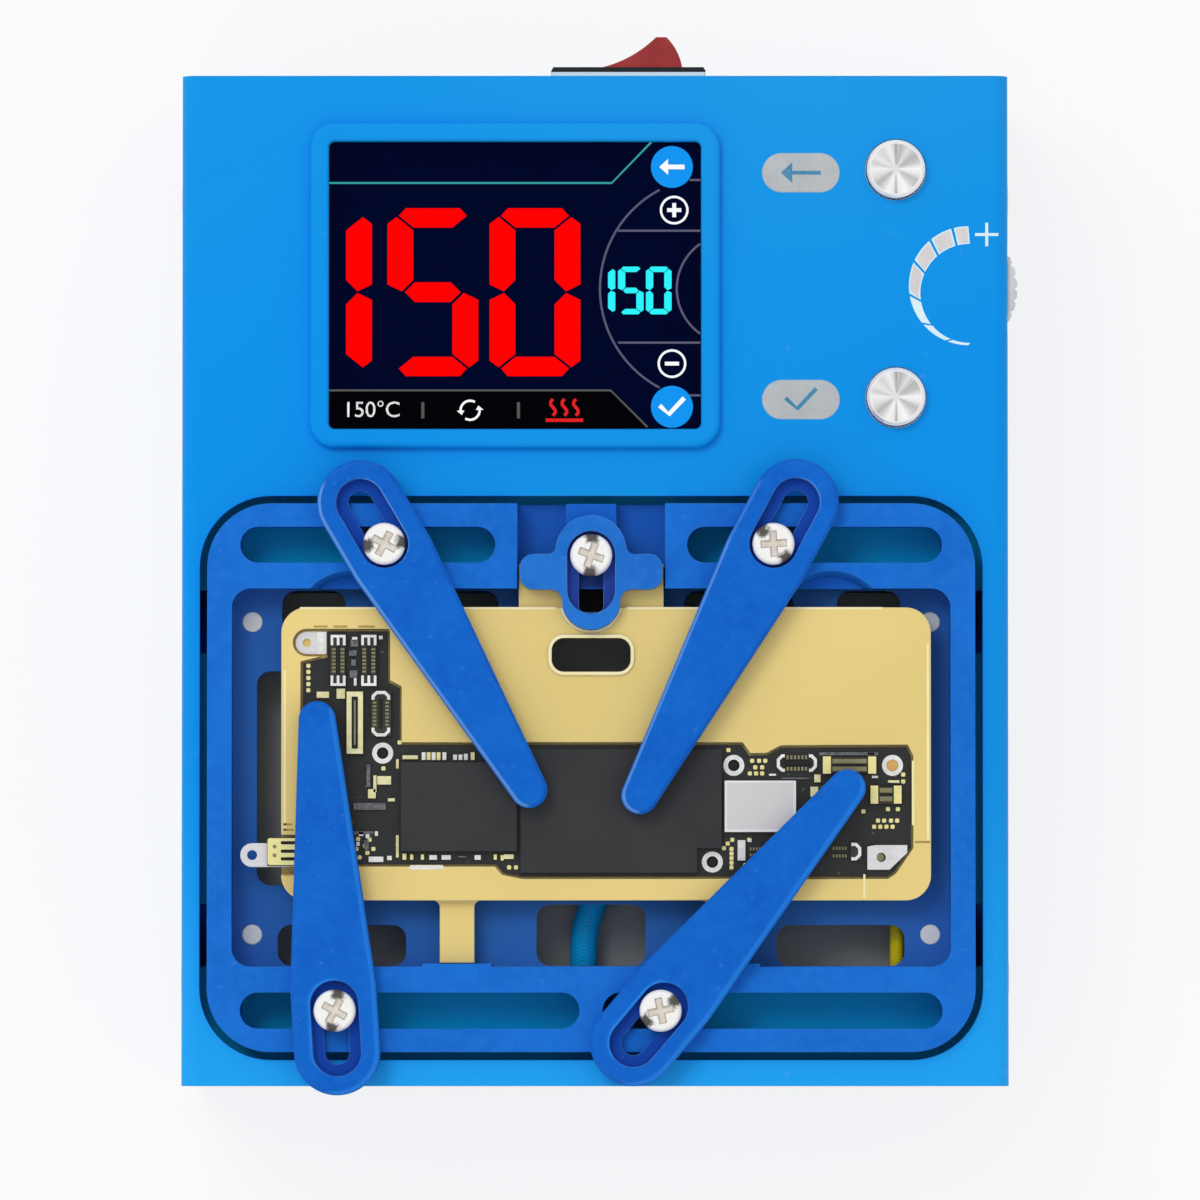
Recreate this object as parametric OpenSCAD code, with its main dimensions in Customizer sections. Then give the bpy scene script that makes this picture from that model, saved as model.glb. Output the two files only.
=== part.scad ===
// Heated bench fixture for taking parts off small circuit boards.
// A sheet-metal case carries a screen, two push buttons, a dial wheel and a
// rocker switch. A machined fixture in its top holds a heated mould plate,
// a sliding clip and four slotted clamp arms.

/* [Case] */
// Width of the case, left to right
case_w = 108; // [96:1:140]
// Height of the case without its feet
case_h = 37; // [34:1:50]
// Thickness of the sheet metal
sheet_t = 1.5; // [1:0.1:2]
// Outer radius of the cover's two long bends
bend_r = 2; // [1.6:0.1:4]
// Depth of the top's strip between the fixture and the screen
deck_mid = 6.2; // [5:0.1:20]
// Depth of the top's strip behind the screen
deck_rear = 6.2; // [5:0.1:20]
// Gap between the cover and the tray it slides over
cover_gap = 0.1; // [0.05:0.05:0.4]
// Height of the tray's two side lips
lip_h = 9; // [7:0.5:14]
// Diameter of each rubber foot
foot_d = 12; // [10:0.5:16]
// Height of each rubber foot
foot_h = 3; // [2:0.5:6]
// Distance of each foot's centre from the case's edges
foot_inset = 12; // [9:0.5:18]
// Width of one vent slot
vent_w = 2; // [1.5:0.5:3]
// Spacing of the vent slots
vent_pitch = 5; // [4:0.5:8]

/* [Fixture frame] */
// Rim of the case's top beside the fixture
rim_side = 2.9; // [2.4:0.1:6]
// Rim of the case's top in front of the fixture
rim_front = 3.4; // [3:0.1:6]
// Gap all round between the frame and the case's opening
frame_gap = 1.05; // [0.6:0.05:2]
// Depth of the frame, front to rear
frame_d = 71.5; // [68:0.5:84]
// Distance of the frame's centre line from the case's, to the right
frame_shift = -0.5; // [-1:0.1:1]
// Corner radius of the frame
frame_r = 8.3; // [6:0.1:12]
// Height of the frame's body
frame_h = 8; // [7.5:0.1:12]
// Height of the frame's top above the case
frame_rise = 2; // [1.5:0.1:4]
// Width of the frame's bars beside the window
bar_side = 3.2; // [2.6:0.1:6]
// Width of the frame's bars in front of and behind the window
bar_end = 11.1; // [10.5:0.1:14]
// Corner radius of the window
window_r = 2.5; // [1:0.1:4]
// Thickness of the floor under the window
floor_t = 2; // [1.5:0.1:3]
// Width of each clamp slot
slot_w = 4.7; // [4.3:0.1:5]
// Distance from the frame's end edges to the clamp slots' centre lines
slot_inset = 5.4; // [5.2:0.1:7]
// Solid metal between a clamp slot's end and the frame's side
slot_end = 4.3; // [3:0.1:8]
// Half the gap between the two rear clamp slots
rear_slot_gap = 12.5; // [11.5:0.1:16]
// Half the gap between the two front clamp slots
front_slot_gap = 1.5; // [1:0.1:4]
// Width of the channel under each clamp slot
channel_w = 7.3; // [6.5:0.1:8]
// Height of the channel under each clamp slot
channel_h = 4.2; // [3.6:0.1:5]
// Diameter of the four studs that hold the frame down
stud_d = 2.6; // [2:0.1:3]
// Distance of the studs from the window's sides
stud_side = 2.5; // [2:0.1:3.5]
// Distance of the studs from the window's front and rear edges
stud_end = 4.2; // [3:0.1:6]
// Radius of the two finger scallops
scallop_r = 7.2; // [5:0.1:9]
// Depth that each scallop bites into the rear bar
scallop_bite = 2.1; // [1:0.1:2.6]
// Distance of the scallops from the frame's centre line
scallop_x = 31.3; // [24:0.1:34]
// Corner radius of the openings in the floor
hole_r = 1.8; // [0.4:0.1:1.8]
// Width of the floor's bars between the heater's opening and the small ones
floor_bar = 5.2; // [4:0.1:6.5]
// Width of the floor's bar behind the heater's leads
lead_bar = 2.5; // [2:0.1:5]

/* [Clip] */
// Width of the clip across its ears
clip_w = 18.6; // [16:0.2:22]
// Length of the clip, front to rear
clip_l = 14.9; // [13:0.1:18]
// Depth of each ear, front to rear
ear_d = 4.6; // [3.5:0.1:6]
// Radius of the clip's rear lobe
lobe_r = 4.6; // [4.2:0.1:5.5]
// Radius of the clip's front lobe
toe_r = 3.8; // [3.7:0.1:4.5]
// Thickness of the clip
clip_t = 2.8; // [2.4:0.1:4]
// Travel of the clip along its slot
clip_travel = 4.5; // [2:0.1:5]
// Distance from the frame's rear edge to the clip's screw
clip_screw_inset = 6.8; // [6:0.1:9]
// Width of the land under the clip
land_w = 6.5; // [5.5:0.1:7]
// Height of the clip's underside above the case
clip_rise = 0.2; // [0.1:0.05:1]

/* [Clamp arms] */
// Distance between an arm's two end centres
arm_l = 43.3; // [34:0.1:48]
// Radius of an arm's wide end
arm_r = 5.6; // [5:0.1:6.5]
// Radius of an arm's tip
tip_r = 2.4; // [2:0.1:4]
// Thickness of an arm
arm_t = 3; // [2.6:0.1:4]
// Width of the chamfer round an arm's top
arm_chamfer = 0.5; // [0.2:0.05:0.8]
// Length of an arm's slot between its end centres
arm_slot_l = 6.2; // [4:0.1:8]
// Width of the sunk step round an arm's slot
recess_w = 6.3; // [6:0.1:7]
// Depth of the sunk step round an arm's slot
recess_t = 1.6; // [1.2:0.1:2]
// Distance from the rear left slot's middle to its screw
rear_left_at = 2.2; // [-6:0.1:3]
// Distance from the rear right slot's middle to its screw
rear_right_at = -5.4; // [-6:0.1:6]
// Distance from the front left slot's middle to its screw
front_left_at = -9.7; // [-16:0.1:0]
// Distance from the front right slot's middle to its screw
front_right_at = -14.6; // [-16:0.1:0]
// Direction of the rear left arm, in degrees from the right
rear_left_turn = -59.5; // [-70:0.5:-50]
// Direction of the rear right arm, in degrees from the right
rear_right_turn = -118; // [-125:0.5:-105]
// Direction of the front left arm, in degrees from the right
front_left_turn = 93.5; // [85:0.5:100]
// Direction of the front right arm, in degrees from the right
front_right_turn = 50; // [42:0.5:60]
// Distance that the front left arm is pushed in along its slot
front_left_reach = 0.8; // [0:0.1:3]
// Distance that the front right arm is pushed in along its slot
front_right_reach = 0.7; // [0:0.1:3]

/* [Screws] */
// Shank diameter of the screws
screw_d = 3; // [2.5:0.1:3]
// Head diameter of the screws
head_d = 5.5; // [5:0.1:5.6]
// Height of a screw's head
head_h = 2.2; // [1.6:0.1:2.6]
// Radial clearance of a shank in its thread
thread_gap = 0.03; // [0.02:0.01:0.06]
// Clearance each side of a shank in a slot
slot_gap = 0.1; // [0.05:0.05:0.3]

/* [Mould plate] */
// Reach of the mould plate to the left of the frame's centre
mould_left = 40.4; // [38.5:0.1:43]
// Reach of the mould plate to the right of the frame's centre
mould_right = 44.3; // [42.5:0.1:45.5]
// Gap between the mould plate and the window's rear wall
mould_rear_gap = 2.45; // [1.6:0.05:3.5]
// Gap between the mould plate and the window's front wall
mould_front_gap = 8.65; // [7:0.05:10]
// Thickness of the mould plate
mould_t = 4; // [3.4:0.1:5]
// Corner radius of the mould plate
mould_r = 3.3; // [1:0.1:5]
// Depth of the mould's top below the frame's
mould_drop = 1; // [0.6:0.1:2]
// Depth of the board's pocket
pocket_t = 1.4; // [1.1:0.1:2]
// Gap between the board's edge and its pocket
pocket_gap = 0.3; // [0.2:0.05:0.6]
// Width of the two front legs
leg_w = 4.5; // [3:0.1:7]
// Distance of the two front legs from the centre line
leg_x = 17.5; // [14:0.1:21]
// Thickness of the circuit board being worked on
board_t = 0.8; // [0.6:0.1:1]
// Height of the tallest part on that board
part_h = 1.3; // [0.8:0.1:1.4]

/* [Heater] */
// Width of the heater's plate
heater_w = 81; // [70:0.5:84]
// Depth of the heater's plate
heater_d = 25; // [20:0.5:27]
// Thickness of the heater's plate
heater_t = 5; // [4:0.1:6]
// Thickness of the heating element
element_t = 3; // [2:0.1:4]
// Thickness of the insulating board
insulator_t = 2; // [1:0.1:3]
// Thickness of the dark shield under the heater
shield_t = 1.2; // [0.8:0.1:2]
// Diameter of the heater's sleeved lead
lead_d = 3.6; // [2.4:0.1:4]
// Diameter of the sensor's lead
sensor_d = 1.8; // [1:0.1:2.4]

/* [Display] */
// Width of the screen's visible area
screen_w = 48.6; // [40:0.2:54]
// Depth of the screen's visible area
screen_d = 37.6; // [30:0.2:42]
// Width of the raised bezel round the screen
bezel_w = 2.5; // [2:0.1:4]
// Height of the bezel above the case
bezel_h = 1.6; // [1:0.1:3]
// Corner radius of the bezel
bezel_r = 3.3; // [2.6:0.1:6]
// Distance of the screen's centre from the case's centre line, to the left
screen_left = 10.45; // [8:0.05:14]
// Overhang of the panel to the left and right of the visible area
panel_lap = 5.8; // [4:0.1:7]
// Overhang of the panel in front of and behind the visible area
panel_lap_end = 2.5; // [2:0.1:4]
// Thickness of the panel
panel_t = 2.6; // [2:0.1:4]
// Thickness of the control board
pcb_t = 1.6; // [1:0.1:2]
// Space between the panel and the control board
spacer_h = 2.9; // [2:0.1:5]

/* [Controls] */
// Diameter of the two push buttons
button_d = 7.6; // [6:0.1:9]
// Height of a button above the case
button_rise = 1.8; // [1.2:0.1:3]
// Travel of a button
button_travel = 0.8; // [0.4:0.1:1]
// Clearance all round a button in the case
button_gap = 0.2; // [0.1:0.05:0.4]
// Distance from the case's right side to the buttons
button_side = 14.7; // [13:0.1:20]
// Distance between the two buttons
button_pitch = 29.8; // [27:0.1:34]
// Distance from the case's rear to the dial wheel's axis
wheel_rear = 27.7; // [24:0.1:30]
// Radius of the dial wheel
wheel_r = 9; // [7:0.1:9.5]
// Thickness of the dial wheel
wheel_t = 4.4; // [3.5:0.1:4.8]
// Distance that the dial wheel stands out of the case
wheel_out = 1.3; // [1:0.1:3.5]
// Number of grooves round the dial wheel
wheel_grooves = 36; // [18:1:48]
// Diameter of the dial wheel's shaft
shaft_d = 4; // [3:0.1:5]
// Radial clearance of the dial wheel on its shaft
shaft_gap = 0.05; // [0.02:0.01:0.09]

/* [Rear panel] */
// Distance of the switch from the centre line, to the right
switch_x = 4.4; // [0:0.1:10]
// Width of the switch's flange
switch_w = 20.4; // [20:0.1:23]
// Height of the switch's flange
switch_h = 15; // [14:0.1:17]
// Thickness of the switch's flange
flange_t = 2.2; // [1.6:0.1:2.8]
// Radius of the rocker's round ends about its pivot
rocker_r = 7.2; // [6:0.1:7.4]
// Tilt of the rocker each way
rocker_tilt = 24; // [16:1:25]
// Depth of the rocker's pivot behind the flange's face
pivot_in = 1; // [0.8:0.1:1.4]
// Clearance round the rocker
rocker_gap = 0.25; // [0.15:0.05:0.4]
// Distance of the power inlet from the centre line, to the left
inlet_left = 26; // [24:0.5:27]
// Width of the power inlet's flange
inlet_w = 31; // [30:0.5:33]
// Height of the power inlet's flange
inlet_h = 23; // [22:0.5:25]
// Thickness of the power inlet's flange
inlet_lip = 0.6; // [0.5:0.1:0.8]

/* [Hidden] */
$fn = 64;
eps = 0.01;

// Heights from the bench up
base_z = foot_h;
top_z = foot_h + case_h;
floor_z = base_z + sheet_t;
under_top = top_z - sheet_t;
frame_top = top_z + frame_rise;
frame_z = frame_top - frame_h;
floor_top = frame_z + floor_t;
bridge_z = frame_z - sheet_t;
channel_top = frame_z + channel_h;
mould_top = frame_top - mould_drop;
mould_z = mould_top - mould_t;
tab_top = mould_top - 1;
leg_top = mould_top - 1.5;
pocket_z = mould_top - pocket_t;
board_top = pocket_z + board_t;
heater_z = mould_z - heater_t;
element_z = heater_z - element_t;
insulator_z = element_z - insulator_t;
shield_z = insulator_z - shield_t;
clip_z = top_z + clip_rise;
clip_floor = clip_z + clip_t / 2;
arm_floor = frame_top + arm_t - recess_t;
panel_z = under_top - panel_t;
control_top = panel_z - spacer_h;
control_z = control_top - pcb_t;
wheel_z = (control_top + under_top - wheel_t) / 2;
stem_z = under_top - 1.5;
rear_z = base_z + case_h / 2 - 1;
power_z = floor_z + 4.5;
power_top = power_z + pcb_t;
lead_z = power_top + 4.5;

// Places in plan, from the centre of the case
case_d = rim_front + 2 * frame_gap + frame_d + deck_mid + screen_d + 2 * bezel_w + deck_rear;
inner_x = case_w / 2 - sheet_t;
lip_x = inner_x - cover_gap;
frame_w = case_w - 2 * (rim_side + frame_gap);
frame_y = -case_d / 2 + rim_front + frame_gap + frame_d / 2;
window_w = frame_w - 2 * bar_side;
window_d = frame_d - 2 * bar_end;
slot_y = frame_d / 2 - slot_inset;
slot_out = frame_w / 2 - slot_end;
rear_slot_mid = (slot_out + rear_slot_gap) / 2;
front_slot_mid = (slot_out + front_slot_gap) / 2;
stud_x = window_w / 2 - stud_side;
stud_y = window_d / 2 - stud_end;
mould_rear = window_d / 2 - mould_rear_gap;
mould_front = window_d / 2 - mould_front_gap;
leg_stop = 0.4;
mould_slot_w = 10.3;
mould_slot_d = 4.4;
mould_slot_y = mould_rear - 6.2;

// Openings in the floor: each one's middle, width, and its start and end, front to rear
heater_hole_w = heater_w + 6.5;
heater_hole_d = heater_d + 3;
hole_end = window_d / 2 - 0.1;
hole_start = heater_hole_d / 2 + floor_bar;
lead_hole_start = heater_hole_d / 2 + lead_bar;
floor_holes = [[-36.3, 8.3, hole_start, hole_end], [-19.3, 14.3, hole_start, hole_end],
    [19.3, 14.3, hole_start, hole_end], [36.3, 8.3, hole_start, hole_end],
    [-32.6, 16.8, -hole_end, -hole_start], [32.6, 16.8, -hole_end, -hole_start],
    [0, 14.3, -hole_end, -lead_hole_start],
    [0, mould_slot_w + 1, heater_hole_d / 2 - 2, mould_slot_y + mould_slot_d / 2 + 0.6]];

// Clip, screen, controls and what stands inside
clip_screw_y = frame_d / 2 - clip_screw_inset;
clip_rear = 5.2;
toe_gap = 0.35;
ear_r = 1.8;
clip_front = clip_screw_y + clip_rear - clip_l;
channel_x = clip_w / 2 + 0.35;
screen_y = case_d / 2 - deck_rear - bezel_w - screen_d / 2;
panel_w = screen_w + 2 * panel_lap;
panel_d = screen_d + 2 * panel_lap_end;
window_lap = 0.9;
button_x = case_w / 2 - button_side;
wheel_x = case_w / 2 + wheel_out - wheel_r;
wheel_y = case_d / 2 - wheel_rear;
button_y = wheel_y + 0.5;
foot_x = case_w / 2 - foot_inset;
foot_y = case_d / 2 - foot_inset;
wing_x = inner_x - 0.6;
bridge_x = lip_x - sheet_t - 1;
bridge_front = -case_d / 2 + sheet_t + 0.6;
bridge_rear = frame_y + frame_d / 2 + 3.2;
bridge_foot_x = bridge_x - 5;
bridge_foot_y = window_d / 2 - 5;
cover_screw_y = case_d / 2 - 14;
cover_screw_z = base_z + lip_h / 2;
control_y0 = bridge_rear + 1.3;
control_y1 = case_d / 2 - 3;
control_x1 = case_w / 2 - 3;
pillar_left = -screen_left - panel_w / 2 - 2.9;
pillar_right = case_w / 2 - 7;
control_x0 = pillar_left - 2.55;
pivot_y = case_d / 2 + flange_t - pivot_in;
rocker_h = switch_h - 4;
inlet_cut_w = inlet_w - 3.6;
inlet_cut_h = inlet_h - 3.6;
switch_cut_w = switch_w - 1.8;
switch_cut_h = switch_h - 2.2;
inlet_depth = 20;
pin_x = [-7, 0, 7];
pin_z = [-2, 2, -2];
power_y0 = bridge_rear + 3.4;
power_y1 = case_d / 2 - 7.4;
power_y = (power_y0 + power_y1) / 2;
power_w = case_w - 24;
power_d = power_y1 - power_y0;
terminal_y = power_y0 + 5;
power_pillar_x = foot_x - 8;
power_pillar_y = power_d / 2 - 3;
sensor_x = heater_w / 2 - 0.4;
lead_x = -1;
lead_bend = 4.5;
lead_sway = 10;
lead_down = window_d / 2 + lead_d / 2 + 0.5;

// Each clamp: the slot it runs in, where its screw stands, and its arm's direction and reach
clamp_side = [1, 1, -1, -1];
clamp_x = [-rear_slot_mid + rear_left_at, rear_slot_mid + rear_right_at,
    -front_slot_mid + front_left_at, front_slot_mid + front_right_at];
clamp_turn = [rear_left_turn, rear_right_turn, front_left_turn, front_right_turn];
clamp_reach = [0, 0, front_left_reach, front_right_reach];

// Outline of the circuit board that the mould is cut for, its ringed holes, its rear left
// tab and the thickness of the tab at its plug
ring_holes = [[-27.2, 3.2], [18.6, 1.6], [15.8, -11], [39.3, 1.6]];
ear_tab = [-37.1, 17.6];
ear_tab_r = 1.5;
plug_tab_t = 0.4;
board_points = [[-34.4, 19.1], [-26.5, 19.1], [-26.5, 12.5], [-25, 11.7], [-25, 4.3], [19.6, 4.3],
    [20.6, 2.9], [22.9, 2.9], [24.8, 3.9], [41.1, 4], [41.7, 2.8], [41.7, -9.1], [39.5, -12.3],
    [38.6, -12.9], [-9, -12.9], [-11.5, -12.4], [-12.4, -11.3], [-36.6, -11.3], [-37.6, -10.3],
    [-37.6, 14.9], [-34.4, 15.7]];

module at_frame() {
    translate([frame_shift, frame_y, 0]) children();
}

// A block centred in plan that stands on z = 0
module box(w, d, h) {
    translate([-w / 2, -d / 2, 0]) cube([w, d, h]);
}

// A rectangle with round corners
module round_rect(w, d, r) {
    square([w - 2 * r, d], center = true);
    square([w, d - 2 * r], center = true);
    for (x = [-1, 1], y = [-1, 1])
        translate([x * (w / 2 - r), y * (d / 2 - r)]) circle(r);
}

module round_box(w, d, h, r) {
    linear_extrude(h) round_rect(w, d, r);
}

// A slot with round ends, l long over all
module capsule(l, w) {
    square([l - w, w], center = true);
    for (x = [-1, 1])
        translate([x * (l - w) / 2, 0]) circle(w / 2);
}

// Copies at the four corners of a rectangle
module corners(x, y) {
    for (i = [-1, 1], j = [-1, 1])
        translate([i * x, j * y, 0]) children();
}

// The filler in an inside corner, with the corner at the origin and the metal below and left
module fillet(r) {
    difference() {
        translate([-eps, -eps]) square(r + eps);
        translate([r, r]) circle(r);
    }
}

// A profile carried round a rectangle, with its x measured from each corner's centre
module carried_round(w, d, r) {
    x = w / 2 - r;
    y = d / 2 - r;
    for (i = [0:3]) {
        run = i % 2 == 0 ? 2 * y : 2 * x;
        out = i % 2 == 0 ? x : y;
        translate([[x, -x, -x, x][i], [y, y, -y, -y][i], 0])
            rotate(90 * i) rotate_extrude(angle = 90) children();
        rotate(90 * i) translate([out, run / 2, 0]) rotate([90, 0, 0])
            linear_extrude(run) children();
    }
}

// Outline p moved out by g on every side, for points listed clockwise
function unit(v) = v / norm(v);
function grown(p, g) = [for (i = [0:len(p) - 1])
    let (n = len(p),
        u = unit(p[i] - p[(i + n - 1) % n]),
        v = unit(p[(i + 1) % n] - p[i]),
        a = [-u.y, u.x],
        b = [-v.y, v.x])
    p[i] + (a + b) * g / (1 + a * b)];

// A pan-head screw with its head standing on z = 0
module pan_screw(l) {
    difference() {
        union() {
            rotate_extrude() polygon([[0, 0], [head_d / 2, 0], [head_d / 2, head_h * 0.45],
                [head_d / 2 - 0.4, head_h * 0.8], [head_d / 2 - 1.1, head_h], [0, head_h]]);
            translate([0, 0, -l]) cylinder(d = screw_d, h = l + eps);
        }
        for (a = [0, 90])
            rotate(a) translate([-head_d * 0.3, -0.45, head_h * 0.45])
                cube([head_d * 0.6, 0.9, head_h]);
    }
}

// A low-head screw with its head standing on z = 0
module low_screw(l, head = 1.5) {
    difference() {
        union() {
            cylinder(d = head_d, h = head);
            translate([0, 0, -l]) cylinder(d = screw_d, h = l + eps);
        }
        for (a = [0, 90])
            rotate(a) translate([-head_d * 0.3, -0.4, head - 0.9]) cube([head_d * 0.6, 0.8, 2]);
    }
}

// Vent slots side by side, long in y, cut up from z = 0
module vents(n, l, h) {
    for (i = [0:n - 1])
        translate([(i - (n - 1) / 2) * vent_pitch, 0, 0])
            linear_extrude(h) rotate(90) capsule(l, vent_w);
}

// Case

module cover_inside() {
    r = bend_r - sheet_t;
    translate([-inner_x, base_z - 1]) square([2 * inner_x, under_top - r - base_z + 1]);
    translate([-inner_x + r, base_z - 1]) square([2 * (inner_x - r), under_top - base_z + 1]);
    for (x = [-1, 1])
        translate([x * (inner_x - r), under_top - r]) circle(r);
}

module cover_section() {
    difference() {
        union() {
            translate([-case_w / 2, base_z]) square([case_w, case_h - bend_r]);
            translate([-case_w / 2 + bend_r, base_z]) square([case_w - 2 * bend_r, case_h]);
            for (x = [-1, 1])
                translate([x * (case_w / 2 - bend_r), top_z - bend_r]) circle(bend_r);
        }
        cover_inside();
    }
}

module top_cover() {
    cut = sheet_t + 2;
    color([0.07, 0.57, 0.91])
    difference() {
        translate([0, case_d / 2, 0]) rotate([90, 0, 0]) linear_extrude(case_d) cover_section();
        at_frame() translate([0, 0, under_top - 1])
            round_box(frame_w + 2 * frame_gap, frame_d + 2 * frame_gap, cut,
                frame_r + frame_gap);
        translate([-screen_left, screen_y, under_top - 1])
            box(screen_w + 2 * window_lap + 0.2, screen_d + 2 * window_lap + 0.2, cut);
        for (s = [-1, 1])
            translate([button_x, button_y + s * button_pitch / 2, under_top - 1])
                cylinder(d = button_d + 2 * button_gap, h = cut);
        translate([wheel_x, wheel_y, wheel_z - 0.4]) cylinder(r = wheel_r + 0.6, h = wheel_t + 0.8);
        for (s = [-1, 1]) {
            for (y = [-1, 1])
                translate([s * (inner_x - 1), y * cover_screw_y, cover_screw_z])
                    rotate([0, s * 90, 0]) cylinder(d = screw_d + 0.4, h = cut);
            translate([s * (inner_x + sheet_t / 2), frame_y, rear_z]) rotate([90, 0, 90])
                translate([0, 0, -cut / 2]) vents(7, 14, cut);
        }
    }
}

module tray_panel() {
    r = bend_r - sheet_t;
    translate([-lip_x, base_z]) square([2 * lip_x, under_top - base_z - r]);
    translate([-lip_x + r, base_z]) square([2 * (lip_x - r), under_top - base_z]);
    for (x = [-1, 1])
        translate([x * (lip_x - r), under_top - r]) circle(r);
}

module base_tray() {
    color([0.07, 0.55, 0.88])
    difference() {
        union() {
            translate([0, 0, base_z]) box(2 * lip_x, case_d, sheet_t);
            for (y = [-case_d / 2 + sheet_t, case_d / 2])
                translate([0, y, 0]) rotate([90, 0, 0]) linear_extrude(sheet_t) tray_panel();
            for (s = [-1, 1])
                translate([s * (lip_x - sheet_t / 2), 0, base_z])
                    box(sheet_t, case_d - 2 * foot_d, lip_h);
            corners(foot_x, foot_y) translate([0, 0, base_z]) cylinder(d = 6.5, h = sheet_t + 2.4);
            at_frame() corners(bridge_foot_x, bridge_foot_y) translate([-frame_shift, 0, base_z])
                cylinder(d = 6.5, h = sheet_t + 2);
        }
        translate([0, 0, base_z - 1]) {
            corners(foot_x, foot_y) cylinder(r = screw_d / 2 + thread_gap, h = 6);
            translate([0, frame_y, 0]) corners(bridge_foot_x, bridge_foot_y)
                cylinder(r = screw_d / 2 + thread_gap, h = 6);
            translate([0, power_y, 0]) corners(power_pillar_x, power_pillar_y)
                cylinder(r = screw_d / 2 + thread_gap, h = 6);
            translate([0, -case_d / 5, 0]) vents(9, 30, sheet_t + 2);
        }
        for (s = [-1, 1], y = [-1, 1])
            translate([s * lip_x, y * cover_screw_y, cover_screw_z]) rotate([0, 90, 0])
                translate([0, 0, -5]) cylinder(r = screw_d / 2 + thread_gap, h = 10);
        translate([switch_x - switch_cut_w / 2 - 0.1, case_d / 2 - sheet_t - 1,
            rear_z - switch_cut_h / 2 - 0.1])
            cube([switch_cut_w + 0.2, sheet_t + 2, switch_cut_h + 0.2]);
        translate([-inlet_left - inlet_cut_w / 2 - 0.1, case_d / 2 - sheet_t - 1,
            rear_z - inlet_cut_h / 2 - 0.1])
            cube([inlet_cut_w + 0.2, sheet_t + 2, inlet_cut_h + 0.2]);
        translate([case_w / 2 - 20, case_d / 2 + 1, rear_z]) rotate([90, 0, 0])
            vents(5, 14, sheet_t + 2);
    }
}

module rubber_feet() {
    color([0.1, 0.1, 0.1])
    corners(foot_x, foot_y) difference() {
        rotate_extrude() polygon([[0, 0], [foot_d / 2 - 0.9, 0], [foot_d / 2 - 0.4, 0.4],
            [foot_d / 2, foot_h], [0, foot_h]]);
        translate([0, 0, -1]) cylinder(d = head_d + 0.8, h = 1 + foot_h - 1.1);
        translate([0, 0, -1]) cylinder(d = screw_d + 0.3, h = foot_h + 2);
    }
}

module foot_screws() {
    color([0.75, 0.76, 0.78])
    corners(foot_x, foot_y) translate([0, 0, foot_h - 1.1]) mirror([0, 0, 1]) low_screw(4.6);
}

module cover_screws() {
    color([0.75, 0.76, 0.78])
    for (s = [-1, 1], y = [-1, 1])
        translate([s * case_w / 2, y * cover_screw_y, cover_screw_z]) rotate([0, s * 90, 0])
            low_screw(case_w / 2 - lip_x + sheet_t + 1, 1.2);
}

// Support bridge and frame

// Openings in the floor, grown by m on each side
module openings_plan(m) {
    round_rect(heater_hole_w + 2 * m, heater_hole_d + 2 * m, hole_r);
    for (h = floor_holes)
        translate([h[0], (h[2] + h[3]) / 2])
            round_rect(h[1] + 2 * m, h[3] - h[2] + 2 * m, hole_r);
}

// Four cuts in the bridge's sides, below the gap round the frame
module bridge_side_gaps() {
    cut_start = 16.4;
    for (x = [-1, 1], y = [-1, 1])
        translate([x * (frame_w / 2 + 1), y * (window_d / 2 + cut_start) / 2])
            square([4, window_d / 2 - cut_start], center = true);
}

module support_bridge() {
    leg_l = window_d - 2;
    leg_z = floor_z + 2;
    foot_w = 10;
    color([0.05, 0.42, 0.6])
    difference() {
        union() {
            translate([-wing_x, bridge_front, bridge_z])
                cube([2 * wing_x, bridge_rear - bridge_front, sheet_t]);
            for (s = [-1, 1]) {
                translate([s * (bridge_x - sheet_t / 2), frame_y, leg_z])
                    box(sheet_t, leg_l, frame_z - leg_z - eps);
                translate([s * (bridge_x - foot_w / 2), frame_y, leg_z]) box(foot_w, leg_l, sheet_t);
            }
        }
        at_frame() translate([0, 0, bridge_z - 3]) linear_extrude(6) {
            openings_plan(0.5);
            bridge_side_gaps();
            for (x = [-1, 1], y = [-1, 1])
                translate([x * stud_x, y * stud_y]) circle(stud_d / 2 + 0.1);
        }
        translate([0, frame_y, leg_z + 6]) box(case_w, leg_l - 20, bridge_z - leg_z - 12);
        translate([0, frame_y, leg_z - 1]) corners(bridge_foot_x, bridge_foot_y)
            cylinder(d = screw_d + 0.3, h = 4);
    }
}

module bridge_screws() {
    color([0.75, 0.76, 0.78])
    translate([0, frame_y, floor_z + 2 + sheet_t]) corners(bridge_foot_x, bridge_foot_y)
        low_screw(4.6);
}

// Blank for the clamp slots, from their lower channel to their top
module clamp_slots() {
    for (i = [-1, 1]) {
        translate([i * rear_slot_mid, slot_y, 0]) one_slot(slot_out - rear_slot_gap);
        translate([i * front_slot_mid, -slot_y, 0]) one_slot(slot_out - front_slot_gap);
    }
}

module one_slot(l) {
    translate([0, 0, frame_z - 1]) linear_extrude(frame_h + 2) capsule(l, slot_w);
    translate([0, 0, frame_z - 1]) box(l, channel_w, channel_h + 1);
}

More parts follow.
